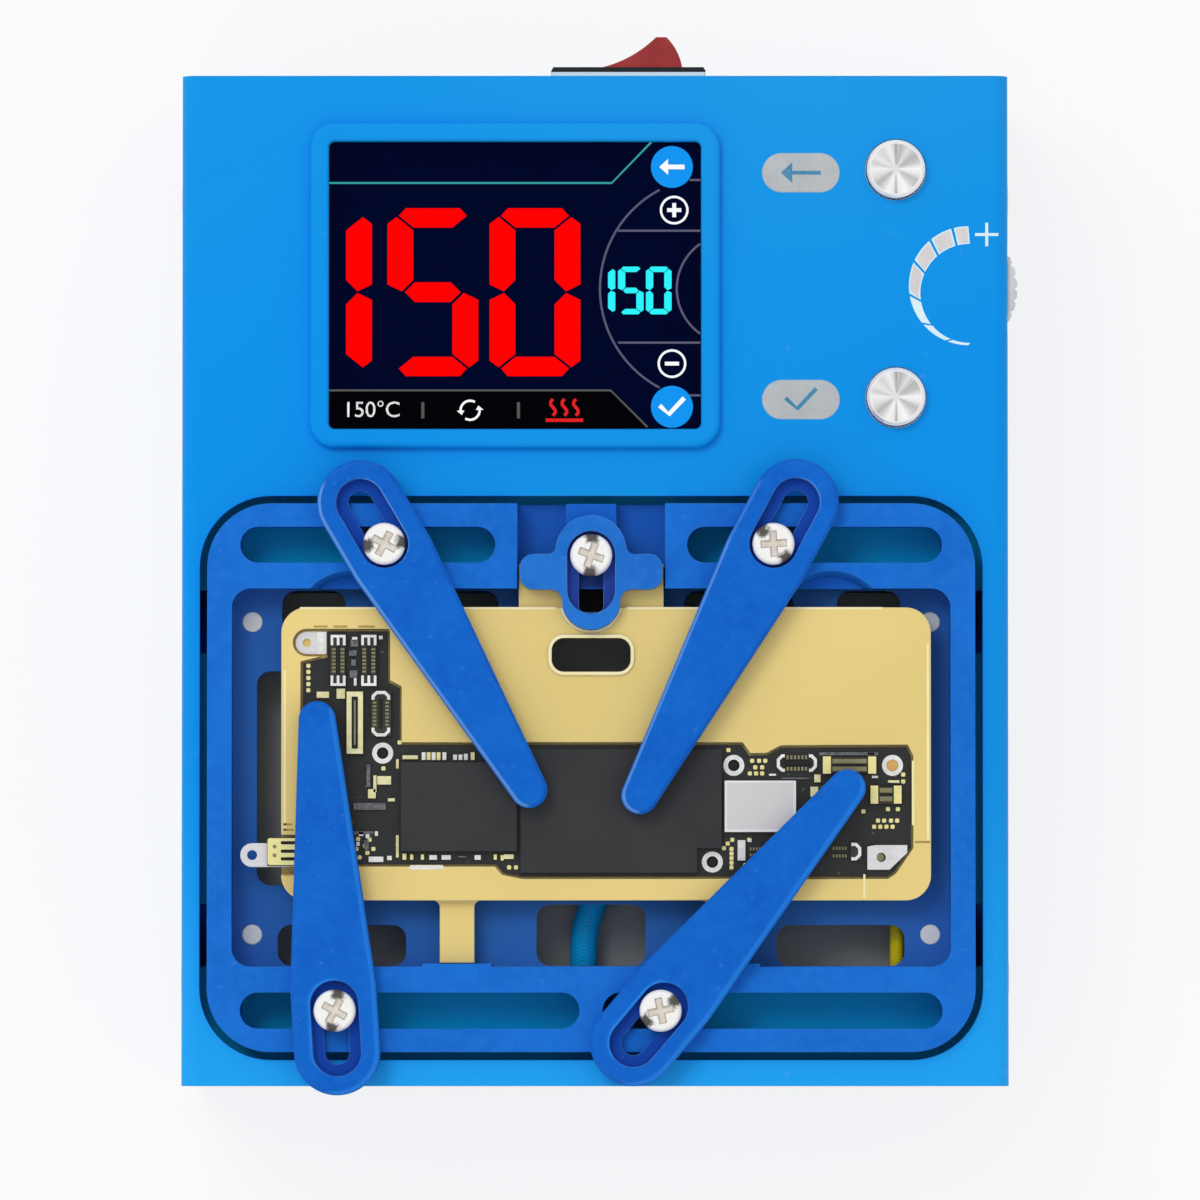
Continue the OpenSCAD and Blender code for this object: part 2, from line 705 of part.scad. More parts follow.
module fixture_frame() {
    color([0.11, 0.38, 0.8])
    at_frame() difference() {
        union() {
            translate([0, 0, frame_z]) difference() {
                round_box(frame_w, frame_d, frame_h, frame_r);
                translate([0, 0, floor_t]) round_box(window_w, window_d, frame_h, window_r);
            }
            for (s = [-1, 1])
                translate([s * leg_x, -window_d / 2 + leg_stop / 2 - eps, floor_top - eps])
                    box(9, leg_stop + 2 * eps, frame_rise + 4);
        }
        translate([0, 0, frame_z - 1]) {
            linear_extrude(floor_t + 2) openings_plan(0);
            corners(stud_x, stud_y) cylinder(r = stud_d / 2 + thread_gap, h = floor_t + 2);
        }
        clamp_slots();
        for (s = [-1, 1]) {
            translate([s * (channel_x + land_w / 2) / 2, (window_d + frame_d) / 4, mould_z])
                box(channel_x - land_w / 2, bar_end + 2, frame_h);
            translate([s * scallop_x, window_d / 2 + scallop_bite - scallop_r, frame_top - 3])
                cylinder(r1 = scallop_r - 0.6, r2 = scallop_r + 0.2, h = 3 + eps);
        }
        translate([0, (window_d + frame_d) / 4, clip_z]) box(2 * channel_x, bar_end + 2, frame_h);
        translate([0, clip_screw_y, frame_z - 1])
            cylinder(r = screw_d / 2 + thread_gap, h = frame_h);
    }
}

module frame_studs() {
    color([0.6, 0.62, 0.63])
    at_frame() corners(stud_x, stud_y) {
        translate([0, 0, shield_z - 1]) cylinder(d = stud_d, h = floor_top - shield_z + 1);
        translate([0, 0, shield_z - 1]) cylinder(d = stud_d + 2, h = 1);
        translate([0, 0, insulator_z]) cylinder(d = stud_d + 2.6, h = bridge_z - insulator_z);
    }
}

module heat_shield() {
    color([0.23, 0.24, 0.24])
    at_frame() difference() {
        translate([0, 0, shield_z]) round_box(window_w + 0.6, window_d - 0.1, shield_t, 3);
        translate([0, 0, shield_z - 1])
            corners(stud_x, stud_y) cylinder(r = stud_d / 2 + thread_gap, h = shield_t + 2);
    }
}

module insulator() {
    color([0.8, 0.78, 0.7])
    at_frame() translate([0, 0, insulator_z]) box(heater_w - 8, heater_d - 5, insulator_t);
}

module heating_element() {
    color([0.55, 0.53, 0.5])
    at_frame() translate([0, 0, element_z]) box(heater_w - 8, heater_d - 5, element_t);
}

module heater_plate() {
    color([0.72, 0.73, 0.74])
    at_frame() translate([0, 0, heater_z]) round_box(heater_w, heater_d, heater_t, 1.5);
}

// A lead that leaves the heater to the front, sways to the left by s, turns down in front of
// the shield and runs back to its terminal block
module lead(d, x, y0, s) {
    z0 = heater_z - d / 2 - 0.1;
    y1 = terminal_y - 4 - frame_y;
    yb = -lead_down + lead_bend;
    z2 = lead_z + lead_bend;
    sway_l = s > 0 ? lead_sway : 0;
    translate([x + s, y0, z0]) rotate([90, 0, 0]) cylinder(d = d, h = y0 - yb - sway_l);
    if (s > 0) {
        turn = 2 * atan(s / lead_sway);
        sway_r = lead_sway / 2 / sin(turn);
        translate([x + s - sway_r, yb + lead_sway, z0]) rotate(-turn)
            rotate_extrude(angle = turn) translate([sway_r, 0]) circle(d / 2);
        translate([x + sway_r, yb, z0]) rotate(180 - turn)
            rotate_extrude(angle = turn) translate([sway_r, 0]) circle(d / 2);
    }
    translate([x, yb, z0 - lead_bend]) rotate([180, -90, 0])
        rotate_extrude(angle = 90) translate([lead_bend, 0]) circle(d / 2);
    translate([x, -lead_down, z2]) cylinder(d = d, h = z0 - lead_bend - z2);
    translate([x, yb, z2]) rotate([180, -90, 0]) rotate(90)
        rotate_extrude(angle = 90) translate([lead_bend, 0]) circle(d / 2);
    translate([x, yb, lead_z]) rotate([-90, 0, 0]) cylinder(d = d, h = y1 - yb);
}

module heater_lead() {
    color([0.1, 0.45, 0.5])
    at_frame() lead(lead_d, lead_x, -heater_d / 2 + 2.5, 1.8);
}

module sensor_lead() {
    color([0.85, 0.75, 0.2])
    at_frame() lead(sensor_d, sensor_x, heater_d / 4, 0);
}

// Mould plate and the board on it

module mould_plan() {
    translate([(mould_right - mould_left) / 2, (mould_rear - mould_front) / 2])
        round_rect(mould_right + mould_left, mould_rear + mould_front, mould_r);
}

module mould_plate() {
    leg_y = -window_d / 2 + leg_stop + 0.1;
    prong_w = channel_x - land_w / 2 - 0.4;
    rear_y = window_d / 2 + 3.2;
    color([0.88, 0.8, 0.5])
    at_frame() difference() {
        union() {
            translate([0, 0, mould_z]) linear_extrude(mould_t) mould_plan();
            for (s = [-1, 1]) {
                translate([s * leg_x - leg_w / 2, leg_y, mould_z])
                    cube([leg_w, -mould_front - leg_y + 1, leg_top - mould_z]);
                translate([s * leg_x - leg_w / 2, leg_y, floor_top])
                    cube([leg_w, -mould_front - leg_y - 0.3, mould_z - floor_top + eps]);
                for (t = [-1, 1])
                    translate([s * leg_x + t * leg_w / 2, -mould_front, mould_z])
                        linear_extrude(leg_top - mould_z) mirror([t < 0 ? 1 : 0, 0])
                        mirror([0, 1]) fillet(0.9);
                translate([s * (land_w / 2 + 0.2 + prong_w / 2) - prong_w / 2, mould_rear - 1, mould_z])
                    cube([prong_w, rear_y - mould_rear + 1, tab_top - mould_z]);
            }
            translate([0, mould_slot_y, mould_z])
                round_box(mould_slot_w + 0.9, mould_slot_d + 0.9, mould_t + 0.3, 2.05);
        }
        translate([0, 0, pocket_z]) linear_extrude(4) polygon(grown(board_points, pocket_gap));
        translate([ear_tab[0], ear_tab[1], pocket_z]) {
            cylinder(r = ear_tab_r + pocket_gap, h = 4);
            translate([0, -ear_tab_r - pocket_gap, 0]) cube([3, 2 * (ear_tab_r + pocket_gap), 4]);
        }
        translate([-mould_left - 1, -12.7, mould_top - 2.6]) cube([5.6, 5.2, 4]);
        translate([0, mould_slot_y, mould_z - 1])
            round_box(mould_slot_w, mould_slot_d, mould_t + 3, 1.6);
        translate([0, mould_rear - 0.6, mould_z - 1]) box(land_w + 0.4, 1.4, mould_t + 3);
        translate([0, clip_front + toe_r, tab_top]) {
            cylinder(r = toe_r + toe_gap, h = mould_t);
            translate([-toe_r - toe_gap, 0, 0])
                cube([2 * (toe_r + toe_gap), mould_rear - clip_front, mould_t]);
        }
    }
}

module work_board() {
    color([0.16, 0.17, 0.17])
    at_frame() difference() {
        translate([0, 0, pocket_z]) linear_extrude(board_t) polygon(board_points);
        for (p = ring_holes)
            translate([p.x, p.y, pocket_z - 1]) cylinder(d = 1.4, h = board_t + 2);
    }
}

// A block on the board: [x0, y0, x1, y1], h high
module on_board(b, h) {
    translate([b[0], b[1], board_top]) cube([b[2] - b[0], b[3] - b[1], h]);
}

module work_chips() {
    color([0.22, 0.22, 0.23])
    at_frame() {
        on_board([-24.8, -9.6, -9.7, 2], part_h);
        difference() {
            on_board([-9.2, -12.4, 17, 3.7], part_h - 0.2);
            translate([13.8, -13, board_top - 1]) cube([4, 3.8, 4]);
        }
    }
}

module work_shield() {
    color([0.75, 0.76, 0.78])
    at_frame() on_board([17.4, -7.1, 26.7, -0.4], part_h - 0.3);
}

module work_connectors() {
    color([0.55, 0.5, 0.4])
    at_frame() {
        on_board([-34, 12, -32.1, 18.6], 0.9);
        on_board([-29.9, 12, -28, 18.6], 0.9);
        on_board([-31.9, 3.1, -29.7, 11.2], 1);
        on_board([-28.7, 5.4, -26.1, 11.3], 0.8);
        on_board([30.2, 0.6, 37.2, 2.7], 0.9);
        on_board([36.4, -3.4, 40.4, -1.2], 0.9);
        on_board([33.8, -10.7, 35.2, -8.4], 0.9);
        translate([0, 0, plug_tab_t]) on_board([-42.2, -11.5, -37.4, -7.8], 0.8);
    }
}

module work_tabs() {
    color([0.78, 0.79, 0.8])
    at_frame() {
        difference() {
            translate([0, 0, board_top]) linear_extrude(plug_tab_t) {
                translate([-44.2, -10.1]) circle(1.55);
                polygon([[-44.2, -8.55], [-42.2, -8.55], [-42.2, -7.8], [-35, -7.8], [-35, -11],
                    [-36, -11.65], [-44.2, -11.65]]);
            }
            translate([-44.2, -10.1, board_top - 1]) cylinder(d = 1.3, h = 3);
        }
        difference() {
            translate([0, 0, board_top]) linear_extrude(0.5)
                polygon([[36, -9], [37, -8.8], [41.2, -8.8], [41.2, -9.8], [38.9, -12], [36, -12]]);
            translate([37.8, -10.4, board_top - 1]) cylinder(d = 1.2, h = 3);
        }
        translate([ear_tab[0], ear_tab[1], pocket_z]) difference() {
            union() {
                cylinder(r = ear_tab_r, h = 0.6);
                translate([0, -ear_tab_r, 0]) cube([2.6, 2 * ear_tab_r, 0.6]);
            }
            translate([0, 0, -1]) cylinder(d = 1.1, h = 3);
        }
    }
}

// Clip

module clip_plan() {
    rear_c = clip_rear - lobe_r;
    front_c = clip_rear - clip_l + toe_r;
    ear_y1 = 0.15;
    ear_y0 = ear_y1 - ear_d;
    translate([0, rear_c]) circle(lobe_r);
    translate([-lobe_r, ear_y0 + 1]) square([2 * lobe_r, rear_c - ear_y0 - 1]);
    translate([0, front_c]) circle(toe_r);
    translate([-toe_r, front_c]) square([2 * toe_r, ear_y1 - front_c - 1]);
    translate([0, (ear_y0 + ear_y1) / 2]) round_rect(clip_w, ear_d, ear_r);
    for (s = [-1, 1]) mirror([s < 0 ? 1 : 0, 0]) {
        translate([toe_r, ear_y0]) mirror([0, 1]) fillet(1.5);
        translate([lobe_r, ear_y1]) fillet(1);
    }
}

module clip() {
    slot_w = screw_d + 2 * slot_gap;
    slot_end = clip_travel + recess_w / 2 - 0.25;
    color([0.12, 0.4, 0.82])
    at_frame() translate([0, clip_screw_y, 0]) difference() {
        translate([0, 0, clip_z]) linear_extrude(clip_t) clip_plan();
        translate([0, -clip_travel / 2, clip_floor]) linear_extrude(clip_t) rotate(90)
            capsule(clip_travel + recess_w, recess_w);
        translate([0, 0, clip_z - 1]) linear_extrude(clip_t) {
            circle(slot_w / 2);
            translate([0, -slot_end / 2]) round_rect(slot_w, slot_end, 0.8);
        }
    }
}

module clip_screw() {
    color([0.8, 0.81, 0.82])
    at_frame() translate([0, clip_screw_y, clip_floor]) pan_screw(6);
}

// Clamps

module at_clamp(i) {
    at_frame() translate([clamp_x[i], clamp_side[i] * slot_y, 0]) children();
}

module slide_nut(i) {
    flange_top = channel_top - 0.1;
    color([0.62, 0.63, 0.65])
    at_clamp(i) difference() {
        union() {
            translate([0, 0, flange_top - 2.6]) box(channel_w - 0.4, channel_w - 0.4, 2.6);
            translate([0, 0, flange_top - 1])
                cylinder(d = slot_w - 2 * slot_gap, h = frame_top - 0.2 - flange_top + 1);
        }
        translate([0, 0, frame_z - 1]) cylinder(r = screw_d / 2 + thread_gap, h = frame_h + 2);
    }
}

module clamp_screw(i) {
    color([0.8, 0.81, 0.82])
    at_clamp(i) translate([0, 0, arm_floor]) rotate(clamp_turn[i] + 30) pan_screw(7);
}

// A disc with a chamfered top edge
module arm_disc(r) {
    cylinder(r = r, h = arm_t - arm_chamfer);
    cylinder(r = r - arm_chamfer, h = arm_t);
}

// An arm with its screw at the origin, lying along x
module arm_shape() {
    difference() {
        hull() {
            translate([-arm_slot_l, 0, 0]) arm_disc(arm_r);
            translate([2, 0, 0]) arm_disc(arm_r);
            translate([arm_l - arm_slot_l, 0, 0]) arm_disc(tip_r);
        }
        translate([-arm_slot_l / 2, 0, arm_t - recess_t]) linear_extrude(arm_t)
            capsule(arm_slot_l + recess_w, recess_w);
        translate([-arm_slot_l / 2, 0, -1]) linear_extrude(arm_t + 2)
            capsule(arm_slot_l + screw_d + 2 * slot_gap, screw_d + 2 * slot_gap);
    }
}

module clamp_arm(i) {
    color([0.12, 0.4, 0.82])
    at_clamp(i) rotate(clamp_turn[i]) translate([clamp_reach[i], 0, frame_top]) arm_shape();
}

// Display

module display_bezel() {
    in_r = bezel_r - bezel_w;
    outer = min(0.8, bezel_h / 2);
    inner = outer * 0.6;
    color([0.07, 0.56, 0.9])
    translate([-screen_left, screen_y, top_z])
        carried_round(screen_w + 2 * bezel_w, screen_d + 2 * bezel_w, bezel_r) {
            translate([in_r, 0]) square([bezel_w, bezel_h - outer]);
            translate([in_r, 0]) square([bezel_w - outer, bezel_h - inner]);
            translate([in_r + inner, 0]) square([bezel_w - outer - inner, bezel_h]);
            translate([bezel_r - outer, bezel_h - outer]) circle(outer);
            translate([in_r + inner, bezel_h - inner]) circle(inner);
        }
}

module display_window() {
    color([0.02, 0.05, 0.1])
    translate([-screen_left, screen_y, under_top])
        box(screen_w + 2 * window_lap, screen_d + 2 * window_lap, sheet_t);
}

module lcd_panel() {
    color([0.3, 0.31, 0.33])
    translate([-screen_left, screen_y, panel_z]) box(panel_w, panel_d, panel_t);
}

module panel_spacer() {
    color([0.15, 0.15, 0.15])
    translate([-screen_left, screen_y, control_top]) difference() {
        box(panel_w - 3, panel_d - 3, spacer_h);
        translate([0, 0, -1]) box(panel_w - 11, panel_d - 11, spacer_h + 2);
    }
}

// Where the board's four pillars stand
module at_pillars() {
    for (x = [pillar_left, pillar_right], y = [control_y0 + 3.2, control_y1 - 3])
        translate([x, y, 0]) children();
}

module control_board() {
    color([0.05, 0.3, 0.18])
    difference() {
        translate([control_x0, control_y0, control_z])
            cube([control_x1 - control_x0, control_y1 - control_y0, pcb_t]);
        at_pillars() translate([0, 0, control_z - 1]) cylinder(d = screw_d + 0.3, h = pcb_t + 2);
        translate([wheel_x, wheel_y, control_z - 1]) cylinder(d = shaft_d + 0.6, h = pcb_t + 2);
    }
}

module board_pillars() {
    color([0.78, 0.7, 0.45])
    at_pillars() difference() {
        translate([0, 0, control_top]) cylinder(d = 4.8, h = under_top - control_top);
        translate([0, 0, control_top - 1]) cylinder(r = screw_d / 2 + thread_gap, h = 5);
    }
}

module board_screws() {
    color([0.75, 0.76, 0.78])
    at_pillars() translate([0, 0, control_z]) mirror([0, 0, 1]) low_screw(pcb_t + 3.6);
}

module tact_switches() {
    body_h = 2.2;
    color([0.12, 0.12, 0.13])
    for (s = [-1, 1])
        translate([button_x, button_y + s * button_pitch / 2, control_top]) {
            box(6, 6, body_h);
            cylinder(d = 3.4, h = stem_z - button_travel - 0.05 - control_top);
        }
}

module encoder_body() {
    color([0.35, 0.37, 0.4])
    translate([wheel_x, wheel_y, 0]) {
        translate([0, 0, control_z - 6.4]) box(8, 11, 6.4);
        translate([0, 0, control_z - 1]) cylinder(d = shaft_d, h = wheel_z + wheel_t - 0.6 - control_z + 1);
    }
}

module adjust_wheel() {
    edge = 0.5;
    color([0.72, 0.73, 0.75])
    translate([wheel_x, wheel_y, wheel_z]) difference() {
        rotate_extrude() polygon([[0, 0], [wheel_r - edge, 0], [wheel_r, edge],
            [wheel_r, wheel_t - edge], [wheel_r - edge, wheel_t], [0, wheel_t]]);
        translate([0, 0, -1]) cylinder(r = shaft_d / 2 + shaft_gap, h = wheel_t + 0.4);
        for (i = [1:wheel_grooves])
            rotate(i * 360 / wheel_grooves) translate([wheel_r + 0.1, 0, -1])
                cylinder(r = 0.4, h = wheel_t + 2);
    }
}

module push_button(s) {
    r = button_d / 2;
    h = top_z + button_rise - stem_z;
    color([0.75, 0.76, 0.77])
    translate([button_x, button_y + s * button_pitch / 2, stem_z]) rotate_extrude()
        polygon([[0, 0], [1.5, 0], [1.5, 0.5], [r + 0.8, 0.5], [r + 0.8, 1.5], [r, 1.5],
            [r, h - 0.4], [r - 0.4, h], [r - 0.8, h], [0, h - 0.4]]);
}

// Rear panel and power

module at_switch() {
    translate([switch_x, pivot_y, rear_z]) children();
}

module switch_housing() {
    depth = 20;
    well_h = rocker_h + 0.4;
    well_deep = 5.6;
    bevel = 0.5;
    color([0.09, 0.09, 0.1])
    at_switch() difference() {
        union() {
            translate([0, 0, -switch_h / 2]) linear_extrude(switch_h)
                polygon([[-switch_w / 2 + bevel, pivot_in - flange_t],
                    [switch_w / 2 - bevel, pivot_in - flange_t],
                    [switch_w / 2, pivot_in - 0.5], [switch_w / 2 - 0.3, pivot_in],
                    [-switch_w / 2 + 0.3, pivot_in], [-switch_w / 2, pivot_in - 0.5]]);
            translate([-switch_cut_w / 2, pivot_in - flange_t - depth, -switch_cut_h / 2])
                cube([switch_cut_w, depth + 1, switch_cut_h]);
        }
        translate([0, 0, -well_h / 2]) intersection() {
            cylinder(r = rocker_r + rocker_gap, h = well_h);
            translate([-10, -well_deep, -1]) cube([20, 20, well_h + 2]);
        }
        translate([0, 0, -rocker_h / 2 - 0.6]) cylinder(r = 1.06, h = rocker_h + 1.2);
    }
}

module switch_terminals() {
    color([0.8, 0.75, 0.6])
    for (x = [-6, 0, 6])
        translate([switch_x + x - 0.4, case_d / 2 - 28, rear_z - 2.4]) cube([0.8, 8, 4.8]);
}

// Side profile of the rocker, level, about its pivot
module rocker_plan() {
    valley = 2.23;
    dish_r = 15.5;
    tip = [5.475, 3.2];
    under = 2.2;
    difference() {
        circle(rocker_r);
        translate([0, valley + dish_r]) circle(dish_r, $fn = 128);
        translate([-10, -under - 10]) square([20, 10]);
        for (s = [0, 1])
            mirror([s, 0]) translate(tip) rotate(-rocker_tilt) square(4);
    }
}

module power_rocker() {
    color([0.62, 0.18, 0.18])
    at_switch() rotate(rocker_tilt) {
        translate([0, 0, -rocker_h / 2]) linear_extrude(rocker_h) rocker_plan();
        translate([0, 0, -rocker_h / 2 - 0.4]) cylinder(r = 1, h = rocker_h + 0.8);
    }
}

module power_inlet() {
    color([0.08, 0.08, 0.09])
    translate([-inlet_left, case_d / 2, rear_z]) difference() {
        union() {
            translate([-inlet_w / 2, 0, -inlet_h / 2]) cube([inlet_w, inlet_lip, inlet_h]);
            translate([-inlet_cut_w / 2, -inlet_depth, -inlet_cut_h / 2])
                cube([inlet_cut_w, inlet_depth + inlet_lip / 2, inlet_cut_h]);
        }
        translate([0, inlet_lip + 1, 0]) rotate([90, 0, 0]) linear_extrude(inlet_lip + 16.6)
            polygon([[-12.2, -8.2], [12.2, -8.2], [12.2, 4], [8, 8.2], [-8, 8.2], [-12.2, 4]]);
        for (i = [0:2])
            translate([pin_x[i] - 1.05, -inlet_depth - 1, pin_z[i] - 2.05])
                cube([2.1, inlet_depth, 4.1]);
    }
}

module inlet_pins() {
    color([0.8, 0.75, 0.6])
    translate([-inlet_left, case_d / 2, rear_z])
        for (i = [0:2])
            translate([pin_x[i] - 1, -inlet_depth - 5, pin_z[i] - 2])
                cube([2, inlet_depth + 4, 4]);
}

module power_board() {
    color([0.05, 0.3, 0.18])
    translate([0, power_y, power_z]) difference() {
        box(power_w, power_d, pcb_t);
        translate([0, 0, -1]) corners(power_pillar_x, power_pillar_y) cylinder(d = 2.7, h = pcb_t + 2);
    }
}

module power_pillars() {
    color([0.78, 0.7, 0.45])
    translate([0, power_y, 0]) corners(power_pillar_x, power_pillar_y) {
        translate([0, 0, floor_z]) cylinder(d = 5.5, h = power_z - floor_z);
        translate([0, 0, base_z]) cylinder(d = screw_d, h = sheet_t + 1);
        translate([0, 0, power_z - 1]) cylinder(d = 2.5, h = pcb_t + 1.1);
    }
}

module transformer() {
    translate([-inlet_left - 1, power_y0 + 14, power_top]) {
        color([0.3, 0.28, 0.26]) {
            box(26, 9, 17);
            box(12, 16, 17);
        }
    }
}

module capacitors() {
    color([0.12, 0.14, 0.2])
    for (x = [-9, 2, 13])
        translate([x, power_y - 4, power_top]) rotate_extrude()
            polygon([[0, 0], [4.5, 0], [4.5, 13.6], [4.1, 14], [0, 14]]);
}

module heat_sink() {
    color([0.2, 0.2, 0.21])
    translate([inner_x - 20.5, power_y + 1, power_top]) {
        box(16, 21, 3);
        for (i = [-3:3])
            translate([i * 2.4, 0, 2]) box(1.2, 21, 14);
    }
}

module terminal_blocks() {
    color([0.1, 0.4, 0.2])
    for (x = [lead_x, sensor_x])
        translate([frame_shift + x, terminal_y, power_top]) box(7, 8, 9);
}

top_cover();
base_tray();
rubber_feet();
foot_screws();
cover_screws();
support_bridge();
bridge_screws();
fixture_frame();
frame_studs();
heat_shield();
insulator();
heating_element();
heater_plate();
heater_lead();
sensor_lead();
mould_plate();
clip();
clip_screw();
display_bezel();
display_window();
lcd_panel();
panel_spacer();
control_board();
board_pillars();
board_screws();
tact_switches();
encoder_body();
adjust_wheel();
push_button(1);  // exit_button
push_button(-1);  // ok_button
switch_housing();
switch_terminals();
power_rocker();
power_inlet();
inlet_pins();
power_board();
power_pillars();
transformer();
capacitors();
heat_sink();
terminal_blocks();
work_board();
work_chips();
work_shield();
work_connectors();
work_tabs();
slide_nut(0);  // slide_nut_1
slide_nut(1);  // slide_nut_2
slide_nut(2);  // slide_nut_3
slide_nut(3);  // slide_nut_4
clamp_screw(0);  // clamp_screw_1
clamp_screw(1);  // clamp_screw_2
clamp_screw(2);  // clamp_screw_3
clamp_screw(3);  // clamp_screw_4
clamp_arm(0);  // clamp_arm_1
clamp_arm(1);  // clamp_arm_2
clamp_arm(2);  // clamp_arm_3
clamp_arm(3);  // clamp_arm_4
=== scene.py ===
import math

import bmesh
import bpy
from mathutils import Matrix, Vector


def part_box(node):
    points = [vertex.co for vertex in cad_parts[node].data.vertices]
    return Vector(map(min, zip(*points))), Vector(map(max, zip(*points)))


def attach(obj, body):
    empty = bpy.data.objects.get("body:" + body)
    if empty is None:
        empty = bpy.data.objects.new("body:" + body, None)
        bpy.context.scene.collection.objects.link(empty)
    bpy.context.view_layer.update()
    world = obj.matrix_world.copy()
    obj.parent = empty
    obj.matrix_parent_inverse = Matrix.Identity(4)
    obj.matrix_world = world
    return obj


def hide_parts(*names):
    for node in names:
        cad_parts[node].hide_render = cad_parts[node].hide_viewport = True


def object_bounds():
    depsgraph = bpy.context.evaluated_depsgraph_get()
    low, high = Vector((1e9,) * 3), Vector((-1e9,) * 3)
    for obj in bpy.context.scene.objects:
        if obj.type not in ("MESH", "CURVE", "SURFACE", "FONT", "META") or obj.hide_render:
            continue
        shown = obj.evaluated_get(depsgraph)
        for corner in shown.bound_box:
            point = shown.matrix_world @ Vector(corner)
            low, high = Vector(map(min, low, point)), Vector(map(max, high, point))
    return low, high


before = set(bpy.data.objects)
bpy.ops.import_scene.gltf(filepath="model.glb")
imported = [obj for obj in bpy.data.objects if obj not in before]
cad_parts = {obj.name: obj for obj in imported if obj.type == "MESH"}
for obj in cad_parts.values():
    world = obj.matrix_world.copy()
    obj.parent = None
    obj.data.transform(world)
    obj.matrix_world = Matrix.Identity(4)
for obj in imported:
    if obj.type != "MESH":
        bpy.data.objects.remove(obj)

# A heated bench fixture for small circuit boards, with a screen, two push
# buttons, a dial wheel, a rocker switch and four slotted clamp arms.
# Sizes here are in millimetres, and mm turns them into Blender's metres.
mm = 0.001
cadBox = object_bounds()
station = "station"


def corners(node):
    low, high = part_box(node)
    return low / mm, high / mm


def middle(node):
    low, high = corners(node)
    return (low + high) / 2


# Colours and node sums

def rgb(code):
    # Colour as it looks on the screen, such as 1B62CC, as Blender's linear colour
    parts = [int(code[i:i + 2], 16) / 255 for i in (0, 2, 4)]
    linear = [p / 12.92 if p <= 0.04045 else ((p + 0.055) / 1.055) ** 2.4 for p in parts]
    return (*linear, 1)


def setStops(ramp, stops):
    while len(ramp.elements) > 1:
        ramp.elements.remove(ramp.elements[-1])
    ramp.elements[0].position = stops[0][0]
    for position, value in stops[1:]:
        ramp.elements.new(position)
    for element, (position, value) in zip(ramp.elements, stops):
        element.color = rgb(value) if isinstance(value, str) else (value, value, value, 1)


def operator(operation, reflected=False):
    def method(self, other):
        values = (other, self) if reflected else (self, other)
        return self.nodes.sum(operation, *values)
    return method


class Wire:
    # A socket that can be used in sums
    def __init__(self, nodes, socket):
        self.nodes = nodes
        self.socket = socket

    __add__ = operator("ADD")
    __radd__ = operator("ADD", True)
    __sub__ = operator("SUBTRACT")
    __rsub__ = operator("SUBTRACT", True)
    __mul__ = operator("MULTIPLY")
    __rmul__ = operator("MULTIPLY", True)
    __truediv__ = operator("DIVIDE")
    __rtruediv__ = operator("DIVIDE", True)


class Nodes:
    # A node tree that is built one node at a time
    def __init__(self, tree):
        self.tree = tree
        tree.nodes.clear()

    def add(self, kind, settings=None, inputs=None, output=0):
        # An input is a wire, a value, or a colour's code
        node = self.tree.nodes.new("ShaderNode" + kind)
        for name, value in (settings or {}).items():
            if name == "stops":
                setStops(node.color_ramp, value)
            else:
                setattr(node, name, value)
        for name, value in (inputs or {}).items():
            if isinstance(value, Wire):
                self.tree.links.new(value.socket, node.inputs[name])
            else:
                node.inputs[name].default_value = rgb(value) if isinstance(value, str) else value
        return Wire(self, node.outputs[output]) if node.outputs else None

    def sum(self, operation, *values):
        return self.add("Math", {"operation": operation}, dict(enumerate(values)))

    def seen(self):
        # 1 for rays that the camera sees, straight, mirrored or through glass
        rays = [self.add("LightPath", None, None, "Is %s Ray" % kind)
                for kind in ("Camera", "Glossy", "Transmission")]
        return self.sum("MAXIMUM", self.sum("MAXIMUM", rays[0], rays[1]), rays[2])


